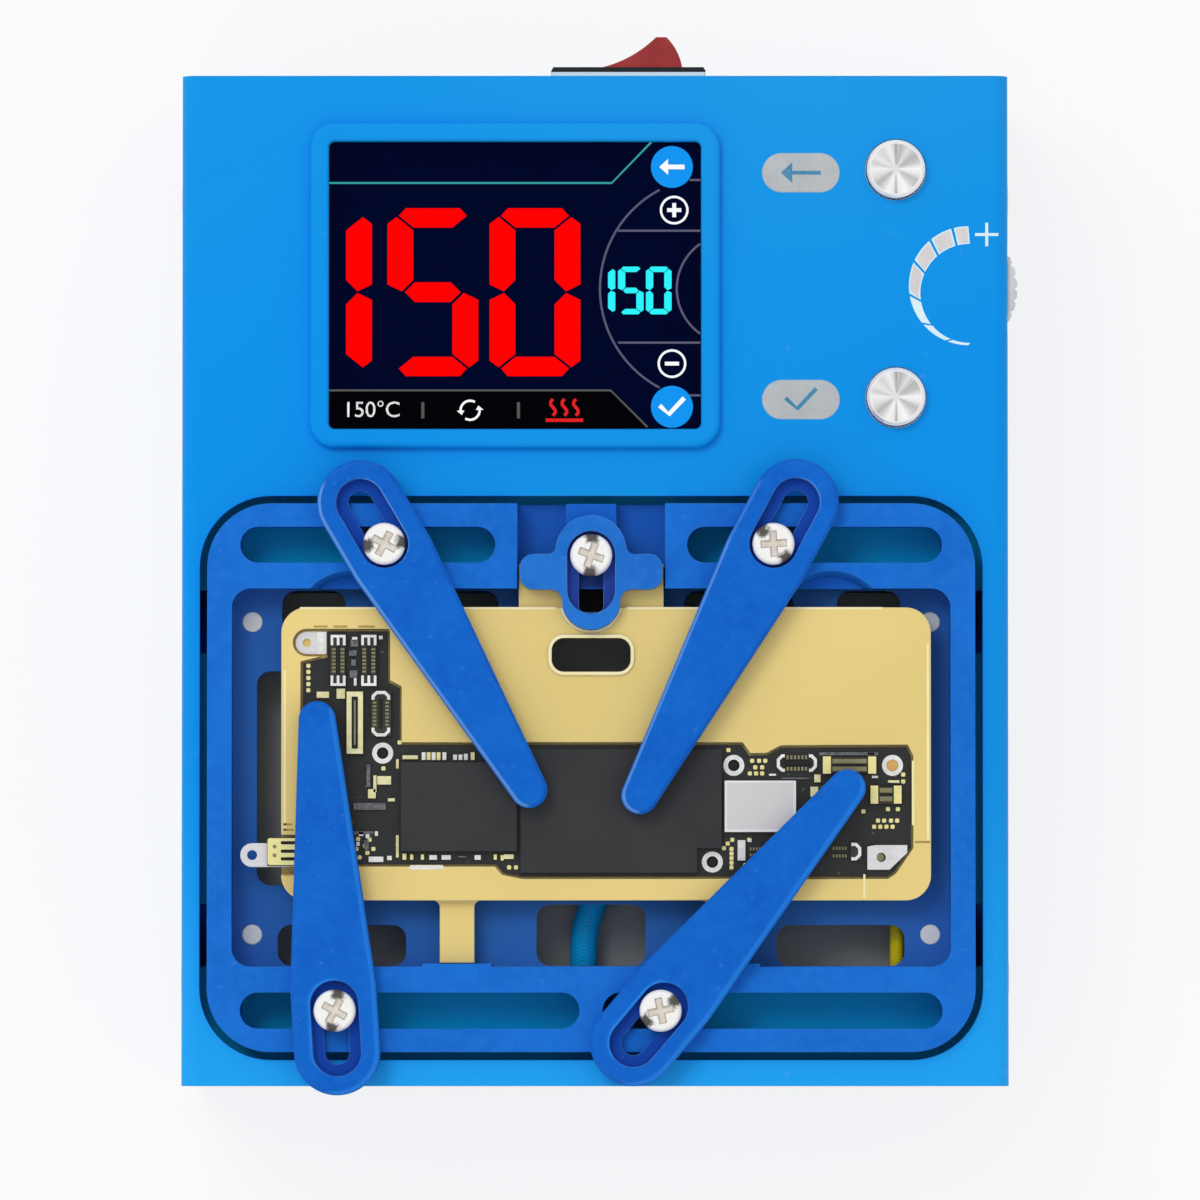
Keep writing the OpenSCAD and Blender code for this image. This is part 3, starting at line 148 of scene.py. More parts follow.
class Paint(Nodes):
    # One material, with its patterns placed by the object's own coordinates, in millimetres
    def __init__(self, name):
        self.material = bpy.data.materials.new(name)
        self.material.use_nodes = True
        super().__init__(self.material.node_tree)
        self.place = self.add("TexCoord", output="Object")

    def stretched(self, x, y, z):
        return self.add("Mapping", None, {"Vector": self.place, "Scale": (x, y, z)})

    def noise(self, size, detail=3, rough=0.5, place=None):
        # size is how wide one patch is
        return self.add("TexNoise", None, {"Vector": place or self.place, "Scale": 1 / (size * mm),
                                           "Detail": detail, "Roughness": rough})

    def cells(self, size, place=None):
        return self.add("TexVoronoi", None, {"Vector": place or self.place, "Scale": 1 / (size * mm)})

    def step(self, value, low, high):
        return self.add("MapRange", {"interpolation_type": "SMOOTHSTEP"},
                        {"Value": value, "From Min": low, "From Max": high})

    def ramp(self, value, places, shades):
        return self.add("ValToRGB", {"stops": list(zip(places, shades))}, {0: value})

    def mix(self, factor, first, second):
        return self.add("Mix", {"data_type": "RGBA"}, {0: factor, 6: first, 7: second}, 2)

    def along(self, axis):
        return self.add("SeparateXYZ", None, {0: self.place}, axis) / mm

    def wave(self, value, pitch):
        return self.sum("SINE", value * (2 * math.pi / pitch))

    def dot(self, first, second):
        return self.add("VectorMath", {"operation": "DOT_PRODUCT"}, {0: first, 1: second}, "Value")

    def face(self):
        return self.add("NewGeometry", None, None, "True Normal")

    def bevel(self, radius):
        return self.add("Bevel", {"samples": 8}, {"Radius": radius * mm})

    def edges(self, radius):
        # Softened normal, and a mask that is 1 along the edges
        soft = self.bevel(radius)
        return soft, self.step(1 - self.dot(soft, self.face()), 0.02, 0.22)

    def bump(self, height, strength, depth, soft=None):
        inputs = {"Height": height, "Strength": strength, "Distance": depth * mm}
        if soft:
            inputs["Normal"] = soft
        return self.add("Bump", None, inputs)

    def done(self, color, roughness, normal, gloss=0.5, metal=0, **more):
        inputs = {"Base Color": color, "Roughness": roughness, "Specular IOR Level": gloss,
                  "Metallic": metal}
        if normal:
            inputs["Normal"] = normal
        for name, value in more.items():
            inputs[name.replace("_", " ")] = value
        shader = self.add("BsdfPrincipled", None, inputs)
        self.add("OutputMaterial", None, {"Surface": shader})
        return self.material


# Camera, floor and light

picture = {
    "target": (0.65, -2.6),  # the point of the case's top that is in the picture's middle
    "width": 156.66,         # how much of the case's top the picture takes in
    "height": 1300,          # of the camera above the case's top
    "lean": 45,              # how far in front of the target the camera stands
}
caseTop = corners("top_cover")[1].z


def addObject(name, data):
    thing = bpy.data.objects.new(name, data)
    bpy.context.scene.collection.objects.link(thing)
    return thing


def makeCamera():
    target = Vector((*picture["target"], caseTop)) * mm
    place = target + Vector((0, -picture["lean"], picture["height"])) * mm
    data = bpy.data.cameras.new("pictureCamera")
    data.lens = data.sensor_width * (place - target).length / (picture["width"] * mm)
    data.clip_start = 0.01
    camera = addObject("pictureCamera", data)
    camera.location = place
    camera.rotation_euler = (target - place).to_track_quat("-Z", "Y").to_euler()
    bpy.context.scene.camera = camera


makeCamera()
print("camera is in place")

# Sizes in the studio are in metres
studio = {
    "sky": 0.72,                  # light that comes from all round
    "white": "FFFFFF",
    "lampPower": 3.0,
    "lampSize": 0.42,
    "lampPlace": (-0.34, 0.42, 0.95),
    "floor": "F4F4F2",
    "floorWhite": 0.80,           # how much of the floor is plain white for the camera
    "floorHalf": 3,
    "floorGap": 0.00002,          # between the floor and the feet
}


def makeLight():
    scene = bpy.context.scene
    scene.view_settings.view_transform = "Standard"
    world = bpy.data.worlds.new("studio")
    world.use_nodes = True
    scene.world = world
    nodes = Nodes(world.node_tree)
    strength = studio["sky"] + nodes.seen() * (1 - studio["sky"])
    sky = nodes.add("Background", None, {"Color": studio["white"], "Strength": strength})
    nodes.add("OutputWorld", None, {"Surface": sky})
    lamp = bpy.data.lights.new("softLamp", "AREA")
    lamp.energy = studio["lampPower"]
    lamp.size = studio["lampSize"]
    holder = addObject("softLamp", lamp)
    holder.location = studio["lampPlace"]
    holder.rotation_euler = (-Vector(studio["lampPlace"])).to_track_quat("-Z", "Y").to_euler()
    holder.visible_glossy = False


def makeFloor():
    paint = Paint("paleFloor")
    color = paint.mix(paint.noise(300, 2), studio["floor"], studio["white"])
    dull = paint.add("BsdfDiffuse", None, {"Color": color})
    white = paint.add("Emission", None, {"Color": studio["white"]})
    factor = paint.seen() * studio["floorWhite"]
    both = paint.add("MixShader", None, {0: factor, 1: dull, 2: white})
    paint.add("OutputMaterial", None, {"Surface": both})
    mesh = bpy.data.meshes.new("floor")
    side = studio["floorHalf"]
    outline = [(-side, -side, 0), (side, -side, 0), (side, side, 0), (-side, side, 0)]
    mesh.from_pydata(outline, [], [(0, 1, 2, 3)])
    mesh.materials.append(paint.material)
    floor = addObject("floor", mesh)
    floor.location.z = cadBox[0].z - studio["floorGap"]


makeLight()
makeFloor()
print("light and floor are in place")


# Finishes

def worked(name, dark, light, edge=None, patch=14, grain=0.7, fleck=None, rough=(0.4, 0.5), bump=0.12,
           stretch=(1, 1, 1), gloss=0.5, metal=0):
    # A finish that is mottled in two sizes, flecked, paler on its edges (partly wear, partly painted
    # highlight) and slightly rough
    paint = Paint(name)
    grains = paint.noise(grain, 4, 0.6, paint.stretched(*stretch))
    tone = paint.step(paint.noise(patch, 2), 0.3, 0.7) * 0.6 + grains * 0.4
    color = paint.mix(tone, dark, light)
    if fleck:
        flecks = paint.step(paint.noise(grain * 1.7, 2), 0.66, 0.76)
        color = paint.mix(flecks * 0.4, color, fleck)
    soft, rim = paint.edges(0.16)
    # paler edges: partly wear, partly painted highlight
    if edge:
        color = paint.mix(rim * 0.7, color, edge)
    roughness = rough[0] + grains * (rough[1] - rough[0])
    return paint.done(color, roughness, paint.bump(grains, bump, 0.02, soft), gloss, metal)


def caseBlue(name, tones, front, edge, edgeWidth, edgeAmount):
    # Sprayed sheet metal: slow change of tone, fine orange peel, a lighter front that is painted light,
    # and a thin line on the bends and edges that is painted highlight when pale and painted shade when
    # dark
    paint = Paint(name)
    color = paint.ramp(paint.noise(95, 1), (0.3, 0.52, 0.72), tones)
    # painted light: the front of the top is mixed towards the lighter front colour
    color = paint.mix(paint.step(paint.along("Y"), -20, -68), color, front)
    peel = paint.noise(0.9, 2)
    dust = paint.step(paint.noise(2.6, 3), 0.7, 0.8)
    color = paint.mix(dust * 0.06, color, "BFE2FF")
    # painted highlight along the edges where the edge colour is pale, painted shade where it is dark
    soft, rim = paint.edges(edgeWidth)
    color = paint.mix(rim * edgeAmount, color, edge)
    return paint.done(color, 0.34 + peel * 0.12, paint.bump(peel, 0.05, 0.02, soft), 0.07)


def fixtureBlue(name, tones, edge, edgeAmount, fleck, deep, paintedShadows=(), edgeHighlights=(), highlightWidth=0):
    # Blue coating on machined metal, with painted shade low down and in given patches, and pale edges
    # that are partly wear and partly painted highlight
    paint = Paint(name)
    cloud = paint.step(paint.noise(9, 2), 0.3, 0.7)
    mottle = paint.step(paint.noise(1.6, 4, 0.6), 0.35, 0.75)
    color = paint.mix(mottle * 0.45, paint.mix(cloud, tones[0], tones[1]), tones[2])
    x, y, height = [paint.along(axis) for axis in "XYZ"]
    # painted shade: below each given height the colour turns to a darker blue
    for low, high, shade in deep:
        color = paint.mix(paint.step(height, low, high), shade, color)
    # painted shadows: boxes of darker colour in the fixture's own place
    for left, right, front, rear, shade in paintedShadows:
        inside = paint.step(x, left, left + 0.1) * (1 - paint.step(x, right - 0.1, right))
        inside = inside * paint.step(y, front, front + 0.1) * (1 - paint.step(y, rear - 0.1, rear))
        color = paint.mix(inside, color, shade)
    specks = paint.step(paint.noise(0.8, 2), 0.69, 0.78)
    color = paint.mix(specks * fleck, color, edge)
    soft, rim = paint.edges(0.16)
    # pale edges: partly wear, partly painted highlight
    wearAndHighlight = rim * paint.step(paint.noise(2.2, 2), 0.2, 0.6)
    color = paint.mix(wearAndHighlight * edgeAmount, color, edge)
    for direction, start, shade, amount in edgeHighlights:
        # painted highlight: edges near the top that face one way are painted a lighter blue
        wearAndHighlight = paint.step(paint.dot(paint.bevel(highlightWidth), direction), start, start + 0.15)
        wearAndHighlight = wearAndHighlight * paint.step(height, armTopZ - 0.5, armTopZ - 0.2)
        color = paint.mix(wearAndHighlight * amount, color, shade)
    normal = paint.bump(paint.noise(0.22, 3), 0.18, 0.012, soft)
    return paint.done(color, 0.42 + mottle * 0.14, normal, 0.07)


def goldPlate(name, tones, edge, side):
    # Gold plating on milled metal, with painted highlight lines on the edges that the cutter broke, and
    # painted shade on the side faces
    paint = Paint(name)
    color = paint.ramp(paint.noise(34, 1), (0.3, 0.5, 0.7), tones)
    feed = paint.noise(0.5, 2, 0.5, paint.stretched(0.06, 1, 1))
    color = paint.mix(paint.step(feed, 0.3, 0.8) * 0.16, color, tones[-1])
    # painted shade: faces that do not point up take the darker side colour
    flat = paint.step(paint.add("SeparateXYZ", None, {0: paint.face()}, "Z"), 0.4, 0.9)
    color = paint.mix(flat, side, color)
    # painted highlight on the top faces' edges
    soft, rim = paint.edges(0.26)
    color = paint.mix(rim * 0.95 * flat, color, edge)
    return paint.done(color, 0.36 + feed * 0.16, paint.bump(feed, 0.08, 0.01, soft), 0.3, 0.15)


def spunMetal(name, center, turns, shades, ringPitch, rim):
    # Turned metal: rings round the centre, and bright and dark wedges of painted reflection that fan
    # out from it
    paint = Paint(name)
    x, y = paint.along("X") - center.x, paint.along("Y") - center.y
    angle = paint.sum("ARCTAN2", y, x) / (2 * math.pi) + 0.5
    away = paint.sum("SQRT", x * x + y * y)
    rings = paint.wave(away, ringPitch)
    grain = paint.noise(0.35, 3)
    color = paint.mix(paint.step(away, 0.1, 0.9), "E6E3E0", paint.ramp(angle, turns, shades))
    color = paint.mix(paint.step(rings + grain, 0.6, 1.6) * 0.10, color, "FFFFFF")
    color = paint.mix(paint.step(away, rim - 0.25, rim), color, "F6F5F4")
    normal = paint.bump(rings, 0.12, 0.01, paint.bevel(0.1))
    return paint.done(color, 0.24 + grain * 0.12, normal, metal=0.6)


def wovenSleeve(name, dark, light, pitch):
    # Braided sleeve: two sets of threads that cross at a slant
    paint = Paint(name)
    x, y, z = [paint.along(axis) for axis in "XYZ"]
    run = y - z
    threads = paint.wave(run + x * 1.3, pitch) * paint.wave(run - x * 1.3, pitch)
    fuzz = paint.noise(0.5, 3)
    color = paint.mix(paint.step(threads + fuzz, 0.1, 1.2), dark, light)
    return paint.done(color, 0.6 + fuzz * 0.2, paint.bump(threads, 0.35, 0.08), 0.2)


def circuitBoard(name, lacquer, track, haze, hole, pitch):
    # Lacquered board: tracks that run in steps under the lacquer, and small plated holes
    paint = Paint(name)
    wide = paint.cells(pitch, paint.stretched(1, 0.16, 1))
    tall = paint.cells(pitch * 1.3, paint.stretched(0.16, 1, 1))
    tracks = paint.step(wide, 0.10, 0.16) * paint.step(tall, 0.10, 0.16)
    holes = 1 - paint.step(paint.cells(pitch * 3), 0.06, 0.08)
    mist = paint.noise(6, 3)
    color = paint.mix(mist * 0.25, paint.mix(tracks, track, lacquer), haze)
    color = paint.mix(holes, color, hole)
    return paint.done(color, 0.32 + mist * 0.2, paint.bump(tracks, 0.25, 0.03), 0.3)


def moulded(name, dark, light, edge, patch=8, grain=0.35, edgeWidth=0.25, edgeAmount=0.35, rough=0.45,
            bump=0.2, gloss=0.3):
    # Moulded plastic or rubber: fine pits, faint cloudiness, paler edges that are partly polish and
    # partly painted highlight
    paint = Paint(name)
    cloud = paint.step(paint.noise(patch, 3), 0.3, 0.7)
    pits = paint.noise(grain, 2)
    soft, rim = paint.edges(edgeWidth)
    # paler edges: partly polish, partly painted highlight
    color = paint.mix(rim * edgeAmount, paint.mix(cloud, dark, light), edge)
    return paint.done(color, rough + pits * 0.14, paint.bump(pits, bump, 0.02, soft), gloss)


def plated(name, dark, light, stainAndDarkReflection, edge, rough=0.3, metal=0.85, edgeWidth=0.12):
    # Plated or rolled metal with fine lines along x and a few dull stains
    paint = Paint(name)
    lines = paint.noise(0.3, 3, 0.6, paint.stretched(0.08, 1, 1))
    stains = paint.step(paint.noise(5, 3), 0.5, 0.75)
    color = paint.mix(stains * 0.35, paint.mix(lines, dark, light), stainAndDarkReflection)
    # paler edges: partly wear, partly painted highlight
    soft, rim = paint.edges(edgeWidth)
    color = paint.mix(rim * 0.6, color, edge)
    return paint.done(color, rough + lines * 0.15, paint.bump(lines, 0.12, 0.01, soft), metal=metal)


def switchBlack(name, highlightStart, highlightEnd):
    # Black flange of the switch, with a pale band of painted highlight where it meets the case, and
    # paler edges that are partly wear and partly painted highlight
    paint = Paint(name)
    y = paint.along("Y")
    pits = paint.noise(0.35, 2)
    soft, rim = paint.edges(0.2)
    color = paint.mix(rim * 0.4, paint.mix(pits, "101011", "1E1E20"), "3A3A3E")
    # painted highlight: a pale band on the flange next to the case
    highlightBand = 1 - paint.step(y, highlightEnd - 0.02, highlightEnd + 0.02)
    highlightBand = highlightBand * paint.step(y, highlightStart - 0.02, highlightStart + 0.02)
    color = paint.mix(highlightBand, color, paint.mix(pits, "DDEBE4", "F4FAF6"))
    return paint.done(color, 0.42 + pits * 0.12, paint.bump(pits, 0.2, 0.02, soft), 0.3)


def litPicture(name, dark, light, pitch=0.12):
    # A lit part of the screen, with the fine grid of its dots
    paint = Paint(name)
    grid = paint.wave(paint.along("X"), pitch) * paint.wave(paint.along("Y"), pitch)
    color = paint.mix(paint.step(grid, -0.9, -0.4), dark, light)
    return paint.done("000000", 0.35, None, 0.01, Emission_Color=color, Emission_Strength=1)


def screenGlass(name, dark, light):
    # Dark cover glass with faint smudges
    paint = Paint(name)
    smudge = paint.step(paint.noise(11, 4), 0.5, 0.8)
    return paint.done(paint.mix(smudge * 0.4, dark, light), 0.08 + smudge * 0.1, None, 0.01)


def printInk(name, dark, light):
    # Screen-printed ink: a slightly uneven film
    paint = Paint(name)
    film = paint.noise(0.5, 4, 0.6)
    cloud = paint.step(film * 0.5 + paint.noise(4, 2) * 0.5, 0.35, 0.65)
    normal = paint.bump(film, 0.15, 0.01)
    return paint.done(paint.mix(cloud, dark, light), 0.5 + film * 0.15, normal, 0.1)


# front is the painted light colour of the case's front; edge is a pale painted highlight line
sheetLook = {"tones": ("0694F0", "0E97EC", "1A9BEA"), "front": "20A8FA", "edge": "5DB8FA",
             "edgeWidth": 0.18, "edgeAmount": 0.45}
trayLook = dict(sheetLook, tones=("068AE0", "0E8EDC", "1894DC"), front="0E8EDC")
# the bezel's dark edge line is painted shade
bezelLook = dict(sheetLook, edge="0F6DC0", edgeWidth=0.3, edgeAmount=0.5)
frameTopZ = corners("fixture_frame")[1].z
frameFloorZ = corners("frame_studs")[1].z
armTopZ = corners("clamp_arm_1")[1].z
clipTopZ = corners("clip")[1].z
fixtureX, fixtureY, _ = middle("fixture_frame")
frameLook = {
    "tones": ("166ACE", "1872D8", "247EE0"), "edge": "4E97EE", "edgeAmount": 0.55, "fleck": 0.2,
    # deep: painted shade on the lower levels and on the floor
    "deep": [(frameTopZ - 2.2, frameTopZ - 0.4, "1864CD"),
             (frameFloorZ - 0.1, frameFloorZ + 1.6, "2F6ABC")],
    # painted shadows: in the notch behind the mould, and on the land under the clip
    "paintedShadows": [
        (fixtureX - 3.6, fixtureX + 3.6, fixtureY + 20.6, fixtureY + 24.7, "0C0E14"),
        (fixtureX - 1.7, fixtureX + 1.7, fixtureY + 24.7, fixtureY + 27.5, "1C3C86")]}
armLook = {"tones": ("0C60C8", "1068D0", "1A72DA"), "edge": "7DB4F6", "edgeAmount": 0.7, "fleck": 0.16,
           # deep: painted shade on the recess floor
           "deep": [(armTopZ - 1.55, armTopZ - 0.7, "1448AC")]}
# painted highlights on the arms' edges that face one way
frontArmLook = dict(armLook, highlightWidth=0.9, edgeHighlights=[((0.86, -0.5, 0), 0.12, "2888EC", 0.85)])
rearArmLook = dict(armLook, highlightWidth=0.4, edgeHighlights=[((-0.86, -0.5, 0), 0.3, "86BEF8", 0.5)])
clipLook = dict(armLook, tones=("1E6CCC", "2476D4", "307EDA"), edge="86C0F4",
                # deep: painted shade on the recess floor
                deep=[(clipTopZ - 1.35, clipTopZ - 0.6, "27459E")])
# the buttons' wedges of painted reflection: where each begins, as a part of a turn, and its brightness
buttonLook = {
    "turns": (0, 0.06, 0.11, 0.15, 0.19, 0.235, 0.25, 0.265, 0.32, 0.38, 0.42, 0.46, 0.5, 0.55, 0.60,
              0.66, 0.72, 0.735, 0.75, 0.765, 0.80, 0.86, 0.92, 0.96, 1),
    "shades": (0.90, 0.72, 0.45, 0.66, 0.92, 0.80, 0.36, 0.82, 0.96, 0.60, 0.50, 0.82, 0.95, 0.55, 0.46,
               0.74, 0.44, 0.60, 0.30, 0.64, 0.88, 0.68, 0.84, 0.62, 0.90),
    "ringPitch": 0.22, "rim": 3.4}
flangeRear = corners("switch_housing")[1].y
caseRear = corners("top_cover")[1].y
zinc = plated("zincSteel", "A8ABB0", "CFD1D4", "9A9888", "F0F0F2")
brass = plated("turnedBrass", "B9964A", "DDBE74", "9C7A38", "F4E2A8")
contact = plated("contactTin", "C9BC98", "E4DCC0", "B0A078", "FAF4E0")
greenBoard = circuitBoard("boardGreen", "0C4A2C", "1B7446", "145A36", "C8B060", 2.4)
rearArm = fixtureBlue("rearArmBlue", **rearArmLook)
frontArm = fixtureBlue("frontArmBlue", **frontArmLook)

# one finish for each node, or for all nodes whose names go on with a number
finishes = {
    "top_cover": caseBlue("caseBlue", **sheetLook),
    "base_tray": caseBlue("trayBlue", **trayLook),
    "display_bezel": caseBlue("bezelBlue", **bezelLook),
    "fixture_frame": fixtureBlue("fixtureBlue", **frameLook),
    "clip": fixtureBlue("clipBlue", **clipLook),
    "slide_nut": moulded("nutBlue", "0A3F70", "125A88", "3C80B0", rough=0.4, gloss=0.2),
    "mould_plate": goldPlate("mouldGold", ("E8D082", "EED586", "F4DA8A"), "FFF4BE", "A8873E"),
    "support_bridge": worked("bridgeTeal", "00A8E4", "00B4F0", "40C0F4", 20, 1.2, rough=(0.45, 0.6),
        gloss=0.1),
    "heat_shield": worked("shieldGrey", "93999B", "A2A5A6", "A8AAA8", 12, 1.5, rough=(0.5, 0.65),
        bump=0.2, gloss=0.2),
    "frame_studs": plated("studMetal", "CED4D4", "E4E8EA", "D4D8E0", "FFFFFF", 0.4, 0.1, 0.3),
    "insulator": worked("micaBoard", "B9AE92", "D8D0B8", None, 5, 0.8, "F0E8D0", (0.5, 0.8)),
    "heating_element": worked("elementGrey", "6C675F", "8C867C", None, 8, 0.5, rough=(0.4, 0.6),
        stretch=(0.1, 1, 1), metal=0.5),
    # painted shade: the plate is dark grey to stand for the shade seen through the mould's slot
    "heater_plate": worked("shadeDarkPlate", "2C2C2D", "3C3A38", "55524E", 7, 0.6, rough=(0.45, 0.65),
        gloss=0.2),
    "heater_lead": wovenSleeve("tealSleeve", "0490D2", "08B0F0", 0.9),
    "sensor_lead": wovenSleeve("yellowLead", "EED200", "FFF03A", 0.7),
    "rubber_feet": moulded("footRubber", "131313", "232323", "383838", rough=0.65, bump=0.4,
        gloss=0.15),
    "display_window": screenGlass("coverGlass", "000628", "02082E"),
    "lcd_panel": worked("panelGrey", "4A4C50", "5C5E62", "7A7C80"),
    "panel_spacer": moulded("spacerBlack", "161617", "262628", "3A3A3C"),
    "tact_switches": moulded("keyBlack", "171718", "29292B", "44444A"),
    "encoder_body": plated("encoderMetal", "84888E", "A8ACB0", "707478", "D0D4D8"),
    "adjust_wheel": moulded("wheelGrey", "C2C4C8", "DCDEE2", "F4F4F6", rough=0.4, edgeAmount=0.6),
    "switch_housing": switchBlack("switchBlack", caseRear + 0.02, (caseRear + flangeRear) / 2 + 0.45),
    "power_rocker": moulded("rockerRed", "A42828", "B43632", "CE6058", 5, edgeWidth=0.35, rough=0.3,
        bump=0.06, gloss=0.35),
    "power_inlet": moulded("inletBlack", "131314", "222224", "3C3C40"),
    "transformer": worked("coreBrown", "3C342C", "584C3E", "7C6C58", grain=0.4, rough=(0.4, 0.6),
        stretch=(1, 1, 0.1)),
    "capacitors": moulded("canSleeve", "141A2C", "202A48", "46507A", rough=0.25, gloss=0.5),
    "heat_sink": plated("sinkBlack", "1E1F22", "2E3034", "121214", "60646A", metal=0.6),
    "terminal_blocks": moulded("terminalGreen", "1B6B38", "278548", "5CB47A"),
    "work_board": circuitBoard("workBlack", "232424", "2F3131", "2A2B2C", "5A5546", 0.8),
    "work_chips": moulded("chipBlack", "353638", "3B3C3D", "515356", 12, 0.12, 0.1, rough=0.55,
        bump=0.1, gloss=0.15),
    "work_shield": plated("shieldTin", "CFCFCF", "DEDBD8", "D6D2CE", "FFFFFF", 0.35, 0.1, 0.28),
    "work_connectors": moulded("connectorDark", "2A2925", "3A3831", "5C5848", grain=0.15,
        edgeWidth=0.08),
    "work_tabs": plated("tabTin", "D2D2D6", "ECECEE", "C8C6C8", "FFFFFF", metal=0.25),
}
shared = {
    "foot_screws cover_screws bridge_screws board_screws clamp_screw clip_screw": zinc,
    "switch_terminals inlet_pins": contact,
    "board_pillars power_pillars": brass,
    "control_board power_board": greenBoard,
    "clamp_arm_1 clamp_arm_2": rearArm,
    "clamp_arm_3 clamp_arm_4": frontArm,
}
for names, finish in shared.items():
    finishes.update(dict.fromkeys(names.split(), finish))


for name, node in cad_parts.items():
    if name in ("exit_button", "ok_button"):
        material = spunMetal(name + "Metal", middle(name), **buttonLook)
    else:
        material = finishes[name if name in finishes else name.rsplit("_", 1)[0]]
    node.data.materials.clear()
    node.data.materials.append(material)

print("finishes are on", len(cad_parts), "parts")


# Outlines, in millimetres

def arc(x, y, radius, start, end, steps):
    turns = [math.radians(start + (end - start) * i / steps) for i in range(steps + 1)]
    return [(x + radius * math.cos(t), y + radius * math.sin(t)) for t in turns]


def disc(x, y, radius, steps=40):
    return arc(x, y, radius, 0, 360, steps)[:-1]


def block(x, y, width, depth):
    return [(x - width / 2, y - depth / 2), (x + width / 2, y - depth / 2),
            (x + width / 2, y + depth / 2), (x - width / 2, y + depth / 2)]


def roundBlock(x, y, width, depth, radius, steps=6):
    points = []
    for turn, (sx, sy) in enumerate([(1, 1), (-1, 1), (-1, -1), (1, -1)]):
        cx = x + sx * (width / 2 - radius)
        cy = y + sy * (depth / 2 - radius)
        points += arc(cx, cy, radius, 90 * turn, 90 * turn + 90, steps)
    return points


def stroke(points, width):
    # A line of one width through the points
    left, right = [], []
    for i, point in enumerate(points):
        before = Vector(points[max(i - 1, 0)])
        after = Vector(points[min(i + 1, len(points) - 1)])
        along = (after - before).normalized()
        side = Vector((-along.y, along.x)) * width / 2
        left.append(tuple(Vector(point) - side))
        right.append(tuple(Vector(point) + side))
    return left + right[::-1]


def crescent(outer, inner, start, end, steps=10):
    # Part of the space between two circles, each given as x, y, radius
    return arc(*outer, start, end, steps) + arc(*inner, start, end, steps)[::-1]


def flipped(points, x=None, y=None):
    # Mirror image in the line at x or at y, or in both
    turned = [(px if x is None else 2 * x - px, py if y is None else 2 * y - py) for px, py in points]
    return turned[::-1] if x is None or y is None else turned


def span(left, right, front, rear):
    return block((left + right) / 2, (front + rear) / 2, right - left, rear - front)


def moved(outlines, x, y):
    return [[(px + x, py + y) for px, py in outline] for outline in outlines]


# Meshes

def ring(bm, outline, z):
    return [bm.verts.new((x * mm, y * mm, z * mm)) for x, y in outline]


def walls(bm, lower, upper):
    # Faces between two rings with as many points
    after = [loop[1:] + loop[:1] for loop in (lower, upper)]
    return [bm.faces.new(points) for points in zip(lower, *after, upper)]


def prism(bm, outline, low, high):
    floor, roof = ring(bm, outline, low), ring(bm, outline, high)
    bm.faces.new(floor[::-1])
    bm.faces.new(roof)
    walls(bm, floor, roof)


def hoop(bm, outer, inner, low, high):
    # A plate with a hole: both outlines have as many points and start at the same side
    rings = [ring(bm, *loop) for loop in ((outer, low), (outer, high), (inner, high), (inner, low))]
    for lower, upper in zip(rings, rings[1:] + rings[:1]):
        walls(bm, lower, upper)


def addPiece(name, mesh, materials, body):
    for material in materials:
        mesh.materials.append(material)
    piece = addObject(name, mesh)
    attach(piece, body)
    return piece


def addFaces(name, bm, materials, body):
    bmesh.ops.recalc_face_normals(bm, faces=bm.faces)
    mesh = bpy.data.meshes.new(name)
    bm.to_mesh(mesh)
    bm.free()
    return addPiece(name, mesh, materials, body)


def makePlates(name, outlines, low, high, material, slot, holes=None, at=(0, 0)):
    # One piece made of flat plates, moved by at; holes, when given, has an outline for each plate
    bm = bmesh.new()
    inner = moved(holes or [[]] * len(outlines), *at)
    for outline, hole in zip(moved(outlines, *at), inner):
        if hole:
            hoop(bm, outline, hole, low, high)
        else:
            prism(bm, outline, low, high)
    addFaces(name, bm, [material], station)


# Screen picture, in millimetres from the screen's middle

glassLow, glassHigh = corners("display_window")
inkLayer = 0.02    # thickness of one printed or lit layer

screen = {
    "middle": ((glassLow.x + glassHigh.x) / 2, (glassLow.y + glassHigh.y) / 2),
    "halfSize": ((glassHigh.x - glassLow.x) / 2 - 0.9, (glassHigh.y - glassLow.y) / 2 - 0.9),
    "reading": "150",
    # each row of digits: their left sides, their front, and the size of one
    "large": ((-30.6, -16.7, -3.35), -11.85, (11.9, 22.0)),
    "small": ((9.75, 13.45, 17.1), -3.75, (3.35, 6.25)),
    "headerLine": [(-24.3, 13.45), (12.64, 13.45), (17.8, 18.8)],
    "footerLine": [(-24.3, -13.7), (12.5, -13.7), (17.3, -18.5)],
    "buttons": [(20.5, 15.55), (20.5, -15.85)],
    "buttonRadius": 2.74,
    "plus": (20.8, 9.9),
    "minus": (20.5, -10.2),
    "signRing": (1.88, 1.58),
    "signBar": (1.85, 0.5),
    "line": 0.26,
    "greyLine": 0.28,
    "arcs": [(25.75, -0.4, 14.66, 118, 242), (28.3, -0.4, 7.17, 125, 235)],
    "rulers": [(13.45, 24.2, 7.2), (13.45, 24.2, -7.45), (22.8, 24.2, 13.85), (22.8, 24.2, -14.35)],
    "footerText": (-22.5, -16.3, 2.9),
    "separators": (-12.05, 0.45),
    "turnSign": (-5.87, -16.3, 1.25),
    "heatSign": (6.45, -16.0),
}


